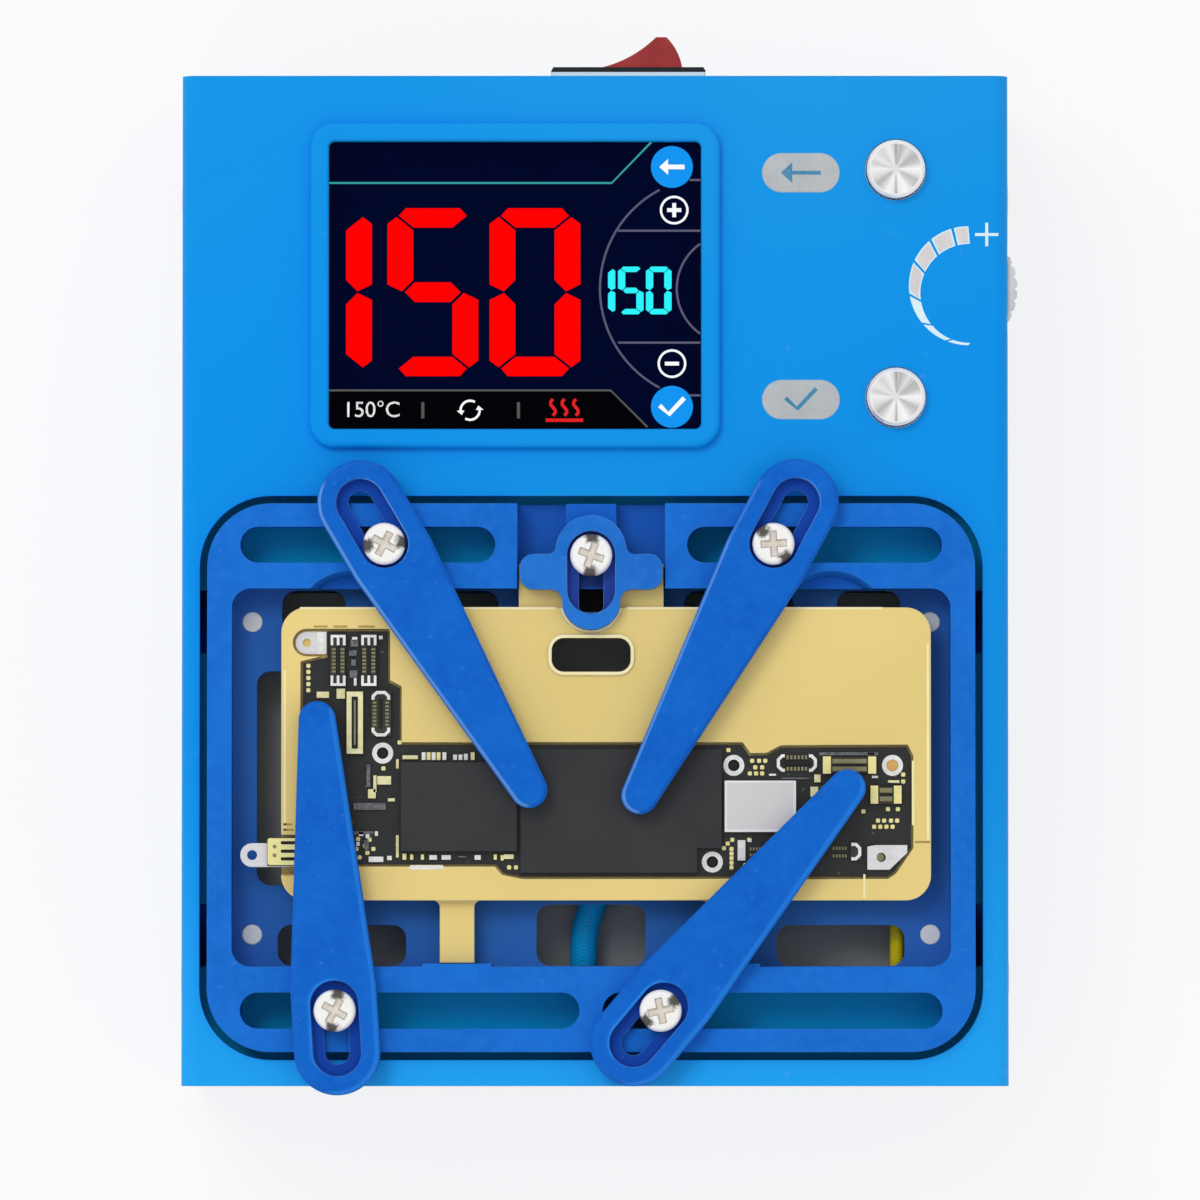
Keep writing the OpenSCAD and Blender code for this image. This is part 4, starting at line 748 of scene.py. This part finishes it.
def digitBars(sign, left, front, width, height):
    # Outlines of the lit bars of one digit, all in step with its width
    k = width / screen["large"][2][0]
    mid, rear, right = front + height / 2, front + height, left + width
    center = (left + right) / 2
    half = [(left + x * k, rear - y * k) for x, y in ((2.4, 0), (1.5, 1), (3.4, 2.55))]
    top = half + flipped(half, x=center)
    side = [(left, rear - 2.05 * k)]
    side += [(left + x * k, mid + y * k) for x, y in ((0, 1), (1.9, 0.1), (3.4, 1.6))]
    side += [(left + x * k, rear - y * k) for x, y in ((3.4, 2.9), (1.2, 1.15))]
    half = [(left + 2.3 * k, mid), (left + 3.6 * k, mid - 1.3 * k)]
    across = half + flipped(half, x=center)
    across += [(x, mid + 1.3 * k) for x in (right - 3.6 * k, left + 3.6 * k)]
    bars = {"a": top, "d": flipped(top, y=mid), "f": side, "e": flipped(side, y=mid),
            "b": flipped(side, x=center), "c": flipped(side, x=center, y=mid), "g": across}
    lit = {"0": "abcdef", "1": "bc", "5": "acdfg"}
    return [bars[bar] for bar in lit[sign]]


def digitRow(words, lefts, front, size):
    return [bar for sign, left in zip(words, lefts) for bar in digitBars(sign, left, front, *size)]


def arrowLeft(width, height, line):
    # An arrow that points left, round its own middle
    neck = height * 0.55 - width / 2
    half = [(neck, height / 2), (neck, line / 2), (width / 2, line / 2)]
    return [(-width / 2, 0)] + half + flipped(half, y=0)


def tick(width, line):
    return stroke([(-width / 2, 0.05 * width), (-0.12 * width, -0.3 * width),
                   (width / 2, 0.36 * width)], line)


def arrowAndTick(places, arrow, mark):
    # The two signs of the buttons, each at its place
    return moved([arrowLeft(*arrow)], *places[0]) + moved([tick(*mark)], *places[1])


def readingPiece(name, words, x, y, size, low, material):
    # Plain figures in Blender's own letter shapes, as a thin solid
    letters = bpy.data.curves.new(name, "FONT")
    letters.body = words
    letters.size = size * mm
    letters.extrude = inkLayer * mm / 2
    letters.align_y = "CENTER"
    holder = addObject(name + "Curve", letters)
    bpy.context.view_layer.update()
    shape = holder.evaluated_get(bpy.context.evaluated_depsgraph_get())
    mesh = bpy.data.meshes.new_from_object(shape)
    bpy.data.objects.remove(holder)
    mesh.transform(Matrix.Translation(Vector((x, y, low + inkLayer / 2)) * mm))
    mesh.name = name
    mesh.materials.clear()
    addPiece(name, mesh, [material], station)


def makeScreen():
    s = screen
    cx, cy = s["middle"]
    hx, hy = s["halfSize"]
    low = glassHigh.z
    levels = [(low, low + inkLayer * (i + 1)) for i in range(4)]
    shades = {"Red": ("F40000", "FF0000"), "Cyan": ("20DCE8", "30F6FF"), "Teal": ("2C8C92", "36A0A4"),
              "Grey": ("50506A", "5C5C74"), "White": ("ECECF4", "FFFFFF"), "Blue": ("0C86E0", "1496F4"),
              "Black": ("000000", "020206"), "Dim": ("4A4A4A", "585858"), "Heat": ("CC1414", "E42424")}
    lit = {name: litPicture("lit" + name, dark, light) for name, (dark, light) in shades.items()}

    def put(name, outlines, level, color, holes=None):
        makePlates("screen_" + name, outlines, *levels[level], lit[color], "window_glass", holes,
                   (cx, cy))

    put("large_digits", digitRow(s["reading"], *s["large"]), 1, "Red")
    put("small_digits", digitRow(s["reading"], *s["small"]), 1, "Cyan")
    put("header_line", [stroke(s["headerLine"], s["line"])], 1, "Teal")
    left, turn, end = s["footerLine"]
    put("footer", [[(-hx, -hy), (end[0] + 0.3, -hy), turn, left]], 0, "Black")
    put("footer_line", [stroke(s["footerLine"], s["line"])], 1, "Dim")

    wide = s["greyLine"]
    grey = [stroke(arc(*circle, 28), wide) for circle in s["arcs"]]
    grey += [block((left + right) / 2, y, right - left, wide) for left, right, y in s["rulers"]]
    put("grey_lines", grey, 0, "Grey")
    put("round_buttons", [disc(x, y, s["buttonRadius"]) for x, y in s["buttons"]], 2, "Blue")

    signs = (s["plus"], s["minus"])
    rings = [[disc(*sign, radius) for sign in signs] for radius in s["signRing"]]
    put("sign_rings", rings[0], 1, "White", rings[1])
    long, wide = s["signBar"]
    bars = [block(*s["plus"], long, wide), block(*s["plus"], wide, long)]
    bars.append(block(*s["minus"], long, wide))
    x, y, radius = s["turnSign"]
    for start in (60, 240):
        bars.append(stroke(arc(x, y, radius, start, start + 130, 12), 0.3))
        bars.append([arc(x, y, radius + reach, start + turn, start + turn, 1)[0]
                     for reach, turn in ((-0.5, 122), (0.5, 122), (0, 150))])
    put("signs", bars, 1, "White")
    put("button_marks", arrowAndTick(s["buttons"], (3.3, 2.1, 0.6), (3.2, 0.6)), 3, "White")

    tx, ty, size = s["footerText"]
    readingPiece("screen_footer_reading", s["reading"] + "°C", cx + tx, cy + ty, size, levels[1][0],
                 lit["White"])
    put("separators", [block(x, ty, 0.4, 2.1) for x in s["separators"]], 1, "Dim")
    hx, hy = s["heatSign"]
    waves = []
    for i in (-1, 0, 1):
        wave = [(hx + i * 1.5 + 0.34 * math.sin(t * 1.05), hy - 1.0 + t * 0.36) for t in range(7)]
        waves.append(stroke(wave, 0.42))
    waves.append(block(hx, hy - 1.6, 4.9, 0.45))
    put("heat_sign", waves, 1, "Heat")


makeScreen()
print("screen picture is made")


# Prints on the case's top

prints = {
    "pills": [(26.9, 53.3), (26.9, 23.6)],
    "pillSize": (10.0, 5.0),
    "pillRim": 0.08,
    "scaleOuter": (48.8, 38.5, 7.78),
    "scaleInner": (49.0, 37.5, 6.49),
    "scaleEnds": (90, 105.5, 129.9, 155.7, 188.8, 219.5, 248.3, 270),
    "scaleGap": 1.4,              # half of the gap between two parts, in degrees
    "fillEnd": 200,               # the parts up to this angle are filled
    "fillInset": (0.18, 1.5),     # in millimetres and in degrees
    "plus": (51.2, 45.2, 3.08, 0.38),
}


def makePrints():
    p = prints
    low = caseTop
    grey = printInk("pillGrey", "B4BABE", "C0C4C7")
    blue = printInk("markBlue", "3C84B0", "5A94B4")
    pale = printInk("scalePale", "D4F0FC", "E6FAFF")
    warm = printInk("scaleGrey", "D6D2D3", "E2DEDD")
    rim = printInk("pillRim", "8FB4CC", "A4BCCB")
    width, depth = p["pillSize"]

    def put(name, outlines, layers, ink):
        makePlates(name, outlines, low, low + inkLayer * layers, ink, "case_blue")

    for name, grow, layers, ink in (("pill_rims", p["pillRim"], 0.5, rim), ("pill_prints", 0, 1, grey)):
        shape = (width + 2 * grow, depth + 2 * grow, depth / 2 + grow - 0.01, 12)
        put(name, [roundBlock(*pill, *shape) for pill in p["pills"]], layers, ink)
    put("pill_marks", arrowAndTick(p["pills"], (5.2, 2.7, 0.5), (4.0, 0.55)), 2, blue)
    borders, fills = [], []
    ends = p["scaleEnds"]
    inset, turn = p["fillInset"]
    x, y, radius = p["scaleOuter"]
    u, v, hole = p["scaleInner"]
    for start, end in zip(ends, ends[1:]):
        start += p["scaleGap"] if start > ends[0] else 0
        end -= p["scaleGap"] if end < ends[-1] else 0
        borders.append(crescent((x, y, radius), (u, v, hole), start, end))
        if end < p["fillEnd"]:
            circles = (x, y, radius - inset), (u, v, hole + inset)
            fills.append(crescent(*circles, start + turn, end - turn))
    x, y, long, wide = p["plus"]
    arm = (long - wide) / 2
    borders += [block(x, y, long, wide)]
    borders += [block(x, y + side * (wide + arm) / 2, wide, arm) for side in (1, -1)]
    put("scale_prints", borders, 1, pale)
    put("scale_fills", fills, 2, warm)


makePrints()
print("prints are on the case")


# Screws with a cross recess

screws = {
    "shank": 1.5,
    "headHeight": 2.2,
    "cross": 1.7,          # reach of the recess from the middle
    "crossHalf": 0.5,      # half of its arm's width
    "crossDepth": 0.5,
    # parts of the recess's reach, width and depth, from its edge to its floor
    "crossRings": [(1, 1, 0), (0.94, 0.82, 0.35), (0.5, 0.6, 1)],
    "dome": (0.55, 0.9),   # width and height of the head's rounding
    "gap": 0.005,          # to the CAD screw's outside
    # degrees that the recess is turned, and the line along which dark reflections are painted on the
    # rim
    "turns": {"clamp_screw_1": (-28, 5), "clamp_screw_2": (4, 130), "clamp_screw_3": (-28, 80),
              "clamp_screw_4": (12, 35), "clip_screw": (-20, 86)},
}


def crossRadius(degrees, reach, half):
    turn = abs((degrees + 45) % 90 - 45)
    if math.tan(math.radians(turn)) <= half / reach:
        return reach / math.cos(math.radians(turn))
    return half / math.sin(math.radians(turn))


def screwHeadMetal(name, center, turn):
    # Bright nickel, with painted dark reflections at two places of its rim
    paint = Paint(name)
    x, y = paint.along("X") - center.x, paint.along("Y") - center.y
    c, s = math.cos(math.radians(turn)), math.sin(math.radians(turn))
    grain = paint.noise(0.5, 4, 0.6)
    along = paint.sum("ABSOLUTE", x * c + y * s)
    across = paint.sum("ABSOLUTE", y * c - x * s)
    ragged = paint.noise(1.1, 4, 0.65) * 1.8
    # painted reflection: two dark patches on the rim, on a line at the given turn
    stainAndDarkReflection = paint.step(along + ragged, 2.1, 2.8) * (1 - paint.step(across + ragged, 1.4, 2.1))
    color = paint.mix(grain, "F4F3F0", "FFFFFF")
    color = paint.mix(stainAndDarkReflection * 0.92, color, paint.mix(grain, "0E0A03", "3A2E1A"))
    normal = paint.bump(grain, 0.06, 0.01, paint.bevel(0.15))
    return paint.done(color, 0.26 + stainAndDarkReflection * 0.3, normal, 0.2)


def makeScrew(name, body, inside, shadow):
    s = screws
    turned, darkReflectionTurn = s["turns"][name]
    low, high = corners(name)
    x, y = (low.x + high.x) / 2, (low.y + high.y) / 2
    radius = (high.x - low.x) / 2 - s["gap"]
    reach, half = s["cross"], s["crossHalf"]
    corner = math.degrees(math.atan(half / reach))
    angles = []
    for quarter in (0, 90, 180, 270):
        angles += [quarter + corner * i / 3 for i in range(-3, 4)]
        angles += [quarter + corner + (90 - 2 * corner) * i / 12 for i in range(1, 12)]
    neck = high.z - s["headHeight"]
    dome, rise = s["dome"]
    rounds = [(s["shank"], low.z), (s["shank"], neck), (radius, neck)]
    for i in range(7):
        turn = math.radians(90 * i / 6)
        rounds.append((radius - dome * (1 - math.cos(turn)), high.z - rise + rise * math.sin(turn)))
    face = len(rounds) - 1
    rings = [([r] * len(angles), z) for r, z in rounds]
    for long, wide, deep in s["crossRings"]:
        radii = [crossRadius(a, reach * long, half * wide) for a in angles]
        rings.append((radii, high.z - s["crossDepth"] * deep))
    bm = bmesh.new()
    loops = [ring(bm, [arc(x, y, r, a + turned, a, 1)[0] for r, a in zip(radii, angles)], z)
             for radii, z in rings]
    bm.faces.new(loops[0][::-1])
    bm.faces.new(loops[-1]).material_index = 1
    for k, (lower, upper) in enumerate(zip(loops, loops[1:])):
        for wall in walls(bm, lower, upper):
            wall.smooth = 2 < k < face
            if k > face:
                wall.material_index = 2 if k == face + 1 else 1
    head = screwHeadMetal(name + "Head", middle(name), darkReflectionTurn)
    piece = addFaces(name + "_turned", bm, [head, inside, shadow], body)
    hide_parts(name)


def makeScrews():
    inside = worked("screwRecess", "D9D1C5", "EDE7DD", None, 1.2, 0.3, rough=(0.35, 0.5), metal=0.2)
    wall = worked("screwWall", "A69E92", "C2BAAE", None, 0.8, 0.3)
    for name in screws["turns"]:
        makeScrew(name, station if name == "clip_screw" else name, inside, wall)


makeScrews()
print("screws are made")


# Small parts on the clamped board, in millimetres from the fixture's middle

boardTop = corners("work_board")[1].z

board = {
    "rings": [(-27.2, 3.2), (18.6, 1.6), (15.8, -11.0), (39.3, 1.6)],
    "ringSize": (1.37, 0.76),
    # each connector's kind, its left, right, front and rear, its height, how long its ends are,
    # its number, and whether its length runs along y
    "connectors": [
        ("comb", -33.97, -32.03, 11.95, 18.6, 0.9, 1.35, 1, True),
        ("comb", -29.98, -28.0, 11.95, 18.6, 0.9, 1.35, 2, True),
        ("frame", -31.88, -29.75, 3.1, 11.2, 1.0, 0.65, 3, True),
        ("bracket", -28.65, -26.2, 5.35, 11.3, 0.8, 1.15, 4, True),
        ("block", 30.2, 37.15, 0.5, 2.75, 0.9, 1.05, 1, False),
        ("block", 36.4, 40.45, -3.4, -1.05, 0.9, 1.0, 2, False),
        ("bracket", 24.2, 29.45, 0.75, 3.05, 0.3, 1.05, 3, False)],
    "pinPitch": 0.48,
    "ivory_parts": [
        (-35.8, -34.2, 10.4, 11.2), (-33.2, -32.1, 10.3, 11.6), (-27.9, -26.1, -0.9, 0.2),
        (-29.1, -28.1, -2.7, -1.5), (-28.4, -28.0, -1.9, 0.3), (28.6, 29.6, -2.5, -1.2),
        (29.1, 29.9, -0.6, 0.4), (-26.5, -25.6, -3.1, -2.7), (-24.6, -22.6, 2.4, 2.9),
        (-15.7, -15.2, 2.3, 3.3), (-11.4, -10.1, -10.6, -10.0), (38.7, 40.1, -0.65, -0.35)],
    "white_parts": [
        (-29.0, -27.1, -11.0, -10.3), *[(x, x + 0.5, 2.3, 3.3) for x in (-22.1, -20.8, -19.4)],
        (-18.0, -17.5, 2.3, 3.0), (-17.3, -16.8, 2.3, 3.0), (-16.6, -16.1, 2.3, 3.1),
        (-21.1, -20.1, -10.7, -10.1), (-19.5, -18.3, -10.7, -10.1), (-15.2, -14.4, -10.7, -10.1),
        (36.0, 36.9, 3.0, 3.25), (23.2, 24.1, 0.25, 0.5),
        (19.1, 20.1, -10.8, -8.15), (-31.2, -30.5, 17.9, 18.35), (-30.95, -30.6, 12.0, 13.1),
        (-27.7, -27.2, 18.05, 18.5), (-26.6, -26.0, -10.75, -10.2), (20.5, 20.9, -8.4, -8.0),
        (36.6, 37.4, -0.05, 0.25), (39.0, 40.2, -0.7, -0.4), (-30.3, -29.7, -7.6, -7.1),
        (-29.4, -28.9, -7.9, -7.4), (-28.2, -27.8, -7.6, -7.0), (-30.6, -30.2, -8.9, -8.4)],
    "gold_parts": [
        (-21.45, -20.95, 2.3, 3.3), (-20.15, -19.65, 2.3, 3.3), (-24.6, -24.1, -10.7, -9.9),
        (-23.6, -23.2, -10.7, -10.0), (-22.2, -21.8, -10.7, -10.0), (-12.7, -12.3, -10.7, -10.0),
        (-11.8, -11.4, -10.8, -10.1)],
    "grey_parts": [
        (-31.5, -30.5, 13.0, 14.0), (-31.3, -30.7, 14.6, 15.4), (-31.6, -30.6, 15.9, 16.6),
        (-31.4, -30.4, 17.1, 18.0), (-29.3, -28.8, -1.2, 1.7), (-31.0, -26.8, -4.2, -3.3),
        (29.7, 37.4, 2.9, 3.3), (-31.2, -28.4, -7.4, -7.0), (-29.6, -29.0, -9.4, -8.2),
        (24.8, 28.4, -0.2, 0.0), (-17.3, -16.3, -10.4, -10.2)],
    "dots": [
        *[(-36.9, 14.6 - 0.8 * i) for i in range(5)], (-27.1, 1.2), (17.9, 3.6), (21.0, 2.2),
        (21.9, 2.2), (22.7, 2.2), (21.4, 1.35), (22.3, 1.35), (20.7, 0.55), (21.5, 0.55), (22.3, 0.55),
        (40.7, 0.4), (40.7, -0.5), (38.7, -4.1), (40.0, -4.1), (35.5, -4.4), (37.4, -5.6), (38.2, -5.6),
        (39.1, -5.6), (39.9, -5.6), *[(36.9 + 0.8 * i, -6.4) for i in range(4)],
        *[(18.3, -9.3 - 0.6 * i) for i in range(5)], (17.3, -9.2), (17.8, -8.6), (18.4, -8.1),
        (20.6, -8.1), (20.1, -11.4), (-10.7, -11.7), (-9.8, -11.7), (-30.4, -8.0), (-28.9, -8.1),
        (-29.5, -8.9), (-30.6, -9.3), (-29.2, -9.8), (-28.4, -9.3), (-30.2, -10.4), (-25.0, 4.6)],
    "dotSize": 0.54,
    "fieldPitch": 0.4,
    "pinFields": [(20.6, 22.4, -10.3, -9.1), (31.4, 33.4, -10.4, -9.0)],
    "corner_lines": [(-25.45, -25.1, 1.2, 2.4), (-25.45, -25.1, -10.4, -7.5)],
}


def bracket(left, right, front, rear, side, line=0.42, corner=0.5):
    # A U-shaped band with cut corners that is open towards +y when side is 1
    shut, end = (front + line / 2, rear) if side > 0 else (rear - line / 2, front)
    x = left + line / 2
    half = [(x, end), (x, shut + side * corner), (x + corner, shut)]
    return stroke(half + flipped(half, x=(left + right) / 2), line)


def comb(left, right, front, rear, side, line=0.34):
    # A bar with three prongs that point towards +y when side is 1
    low, high = (front, front + line) if side > 0 else (rear - line, rear)
    start, end = (high, rear) if side > 0 else (front, low)
    prongs = [span(x - line / 2, x + line / 2, start, end)
              for x in (left + line / 2, (left + right) / 2, right - line / 2)]
    return [span(left, right, low, high)] + prongs


def connectorFace(kind, left, right, front, rear, cap, tall):
    # Ends, holes, dark slots and pins on the top of one connector
    if not tall:
        left, right, front, rear = front, rear, left, right
    center = (left + right) / 2
    rearEnd = (left, right, rear - cap, rear)
    frontEnd = (left, right, front, front + cap)
    holes, pins = None, []
    slots = [span(center - 0.28, center + 0.28, front + cap * 0.9, rear - cap * 0.9)]
    if kind == "frame":
        ends = [span(left, right, front, rear)]
        holes = slots = [span(left + cap, right - cap, front + cap, rear - cap)]
        pins = [span(center - 0.12, center + 0.12, front + cap + 0.5, rear - cap - 0.5)]
    elif kind == "block":
        ends = [span(*rearEnd), span(*frontEnd)]
        low, high = front + cap + 0.2, rear - cap - 0.2
        pins = [span(x - 0.3, x + 0.3, low, high) for x in (left + 0.62, right - 0.62)]
        slots = [span(center - 0.16, center + 0.16, low, high)]
    else:
        if kind == "comb":
            ends = comb(*rearEnd, -1) + comb(*frontEnd, 1)
        else:
            ends = [bracket(*rearEnd, -1), bracket(*frontEnd, 1)]
        pitch = board["pinPitch"]
        count = int((rear - front - 2 * cap - 0.2) / pitch)
        for i in range(count):
            y = (front + rear) / 2 + (i - (count - 1) / 2) * pitch
            pins += [block(x, y, 0.5, pitch * 0.6) for x in (left + 0.4, right - 0.4)]
    if not tall:
        ends, slots, pins = [[[(y, x) for x, y in outline][::-1] for outline in group]
                             for group in (ends, slots, pins)]
    return ends, holes, slots, pins


def makeBoardParts():
    b = board
    outer, inner = b["ringSize"]
    white = printInk("partWhite", "E2E2DE", "FBFBF8")
    ivory = moulded("partIvory", "E6DEA2", "F8F2C2", "FFFBE4", 0.8, 0.2, 0.06, rough=0.4)
    gold = plated("partGold", "EDE18A", "FCF5AE", "D2C06C", "FFFBDC", metal=0.05, edgeWidth=0.05)
    olive = plated("pinOlive", "6E6A4C", "9C9670", "5C583C", "B4AE88", metal=0.4, edgeWidth=0.05)
    grey = moulded("partGrey", "58595A", "7C7D80", "9A9A9C", 0.6, 0.15, 0.06, rough=0.5)
    black = moulded("partBlack", "101010", "1C1C1A", "2A2A28")
    tan = plated("ringTan", "CE9A4E", "E6B868", "B88440", "F4D898", metal=0.1, edgeWidth=0.1)

    def put(name, outlines, low, high, material, slot="tin", holes=None):
        # low and high are measured from the board's top
        makePlates("board_" + name, outlines, boardTop + low, boardTop + high, material, slot, holes,
                   (fixtureX, fixtureY))

    put("rings", [disc(x, y, outer) for x, y in b["rings"]], 0, 0.05, white,
        holes=[disc(x, y, inner) for x, y in b["rings"]])
    put("ring_center", [disc(*b["rings"][-1], 0.72)], -0.1, 0.04, tan)
    for kind, height, material in (("corner_lines", 0.03, ivory), ("ivory_parts", 0.45, ivory),
                                   ("white_parts", 0.4, white), ("gold_parts", 0.35, gold)):
        put(kind, [span(*place) for place in b[kind]], 0, height, material)
    put("grey_parts", [span(*place) for place in b["grey_parts"]], 0, 0.4, grey, "chip_grey")
    size = b["dotSize"]
    put("contact_dots", [roundBlock(*dot, size, size, 0.14, 2) for dot in b["dots"]], 0, 0.06, gold)
    fields = []
    for left, right, front, rear in b["pinFields"]:
        count = int((right - left) / b["fieldPitch"])
        for row in (front + 0.2, rear - 0.2):
            fields += [block(left + 0.2 + i * b["fieldPitch"], row, 0.24, 0.4) for i in range(count)]
    put("pin_fields", fields, 0, 0.12, olive)

    for kind, *place, high, cap, number, tall in b["connectors"]:
        ends, holes, slots, pins = connectorFace(kind, *place, cap, tall)
        low = 0 if high < 0.4 else high
        name = "%s_%d" % ("tall" if tall else "wide", number)
        put(name + "_ends", ends, low, high + 0.12, {"frame": ivory, "block": gold}.get(kind, white),
            holes=holes)
        put(name + "_slot", slots, low, high + 0.01, black, "chip_grey")
        put(name + "_pins", pins, low, high + 0.07, olive)
    put("bracket", [[(x, y) for y, x in bracket(-10.8, -8.5, 33.9, 35.2, -1)][::-1]], 0.9, 1.0, white)
    put("ring_wells", [disc(x, y, inner - 0.04) for x, y in b["rings"][:-1]], -0.79, -0.4, black,
        "chip_grey")
    put("ear_end", [roundBlock(-35.15, 17.57, 1.2, 2.9, 0.15, 3)], -0.2, 0, white)
    put("plug_shell", [roundBlock(-39.8, -9.65, 4.7, 3.5, 0.3, 4)], 1.2, 1.25, gold)
    put("plug_slots", [roundBlock(-39.0, y, 2.9, 0.42, 0.2, 4) for y in (-8.5, -9.6, -10.6)],
        1.25, 1.27, black, "chip_grey")
    put("plug_spots", [disc(-41.25, y, 0.26, 16) for y in (-9.0, -10.15)], 1.25, 1.27, olive)
    put("tab_plug", [disc(37.7, -10.4, 0.5, 20)], -0.1, 0.5, olive)


makeBoardParts()
print("small parts are on the board")


# Lines on the mould: painted highlights, painted shade at a step and small marks; and a painted
# highlight rim on the shield

mouldPlate = {
    "top": corners("mould_plate")[1].z - 0.3,
    # pale lines: painted highlights along edges and the board's pocket
    "highlightLines": [[(-39.95, 14.0), (-39.95, -7.0)], [(35.6, -12.6), (35.6, -15.7)],
                  [(43.9, 17.5), (43.9, -8.3)], [(41.95, 2.2), (41.95, -6.2)],
                  [(-4.7, 22.1), (-38.0, 22.1)], [(4.7, 22.1), (38.0, 22.1)]],
    "rim": ((0, 16.0), (10.4, 4.5, 1.65), (11.1, 5.2, 2.0)),
    "toe": (0, 23.05, 4.0, 193, 347),        # middle, radius, and where the arc starts and ends
    "line": 0.28,
    # dark lines: the one from x 42.2 to 44.2 is painted shade along a small step, the others are small
    # dark marks
    "darkLines": [[(42.2, -8.4), (44.2, -8.4)], [(-36.2, 19.7), (-34.4, 19.7)],
                  [(-33.6, 19.7), (-31.8, 19.7)], [(-30.4, 19.7), (-28.2, 19.7)],
                  [(-40.1, -6.1), (-39.0, -6.1)], [(-40.1, -6.8), (-38.8, -6.8)],
                  [(-40.0, -12.7), (-39.1, -12.7)]],
    "label": (-21.45, -11.7, 4.5, 0.6),      # middle and size
    "shield": (22.05, -3.75, 9.3, 6.7),
}


def makeLines():
    m = mouldPlate
    pale = printInk("highlightPale", "FBEFB8", "FFF6CC")
    brown = printInk("darkLineBrown", "A88E4C", "BFA55E")
    label = printInk("labelWhite", "E0DCD0", "F8F6F0")
    silver = plated("rimSilver", "DCDCE0", "F4F4F6", "D0D0D4", "FFFFFF", metal=0.2, edgeWidth=0.05)

    def put(name, outlines, low, high, material, slot="mould_gold", holes=None, top=m["top"]):
        makePlates(name, outlines, top + low, top + high, material, slot, holes, (fixtureX, fixtureY))

    # painted highlights: pale lines, the slot's rim and the ring round the clip's toe
    put("mould_highlight_lines", [stroke(line, m["line"]) for line in m["highlightLines"]], 0, 0.015, pale)
    put("mould_dark_lines", [stroke(line, m["line"]) for line in m["darkLines"]], 0, 0.015, brown)
    place, hole, border = m["rim"]
    put("slot_highlight_rim", [roundBlock(*place, *border, 10)], 0.3, 0.31, pale,
        holes=[roundBlock(*place, *hole, 10)])
    put("toe_highlight_line", [stroke(arc(*m["toe"], 36), 0.29)], -0.94, 0.01, pale)
    put("mould_label", [roundBlock(*m["label"], 0.28)], 0, 0.04, label)
    # painted highlight: a brighter silver rim on top of the shield can
    x, y, width, depth = m["shield"]
    put("shield_highlight_rim", [block(x, y, width, depth)], 0, 0.05, silver, "tin",
        [block(x, y, width - 0.7, depth - 0.7)], corners("work_shield")[1].z)


makeLines()
print("lines are on the mould")
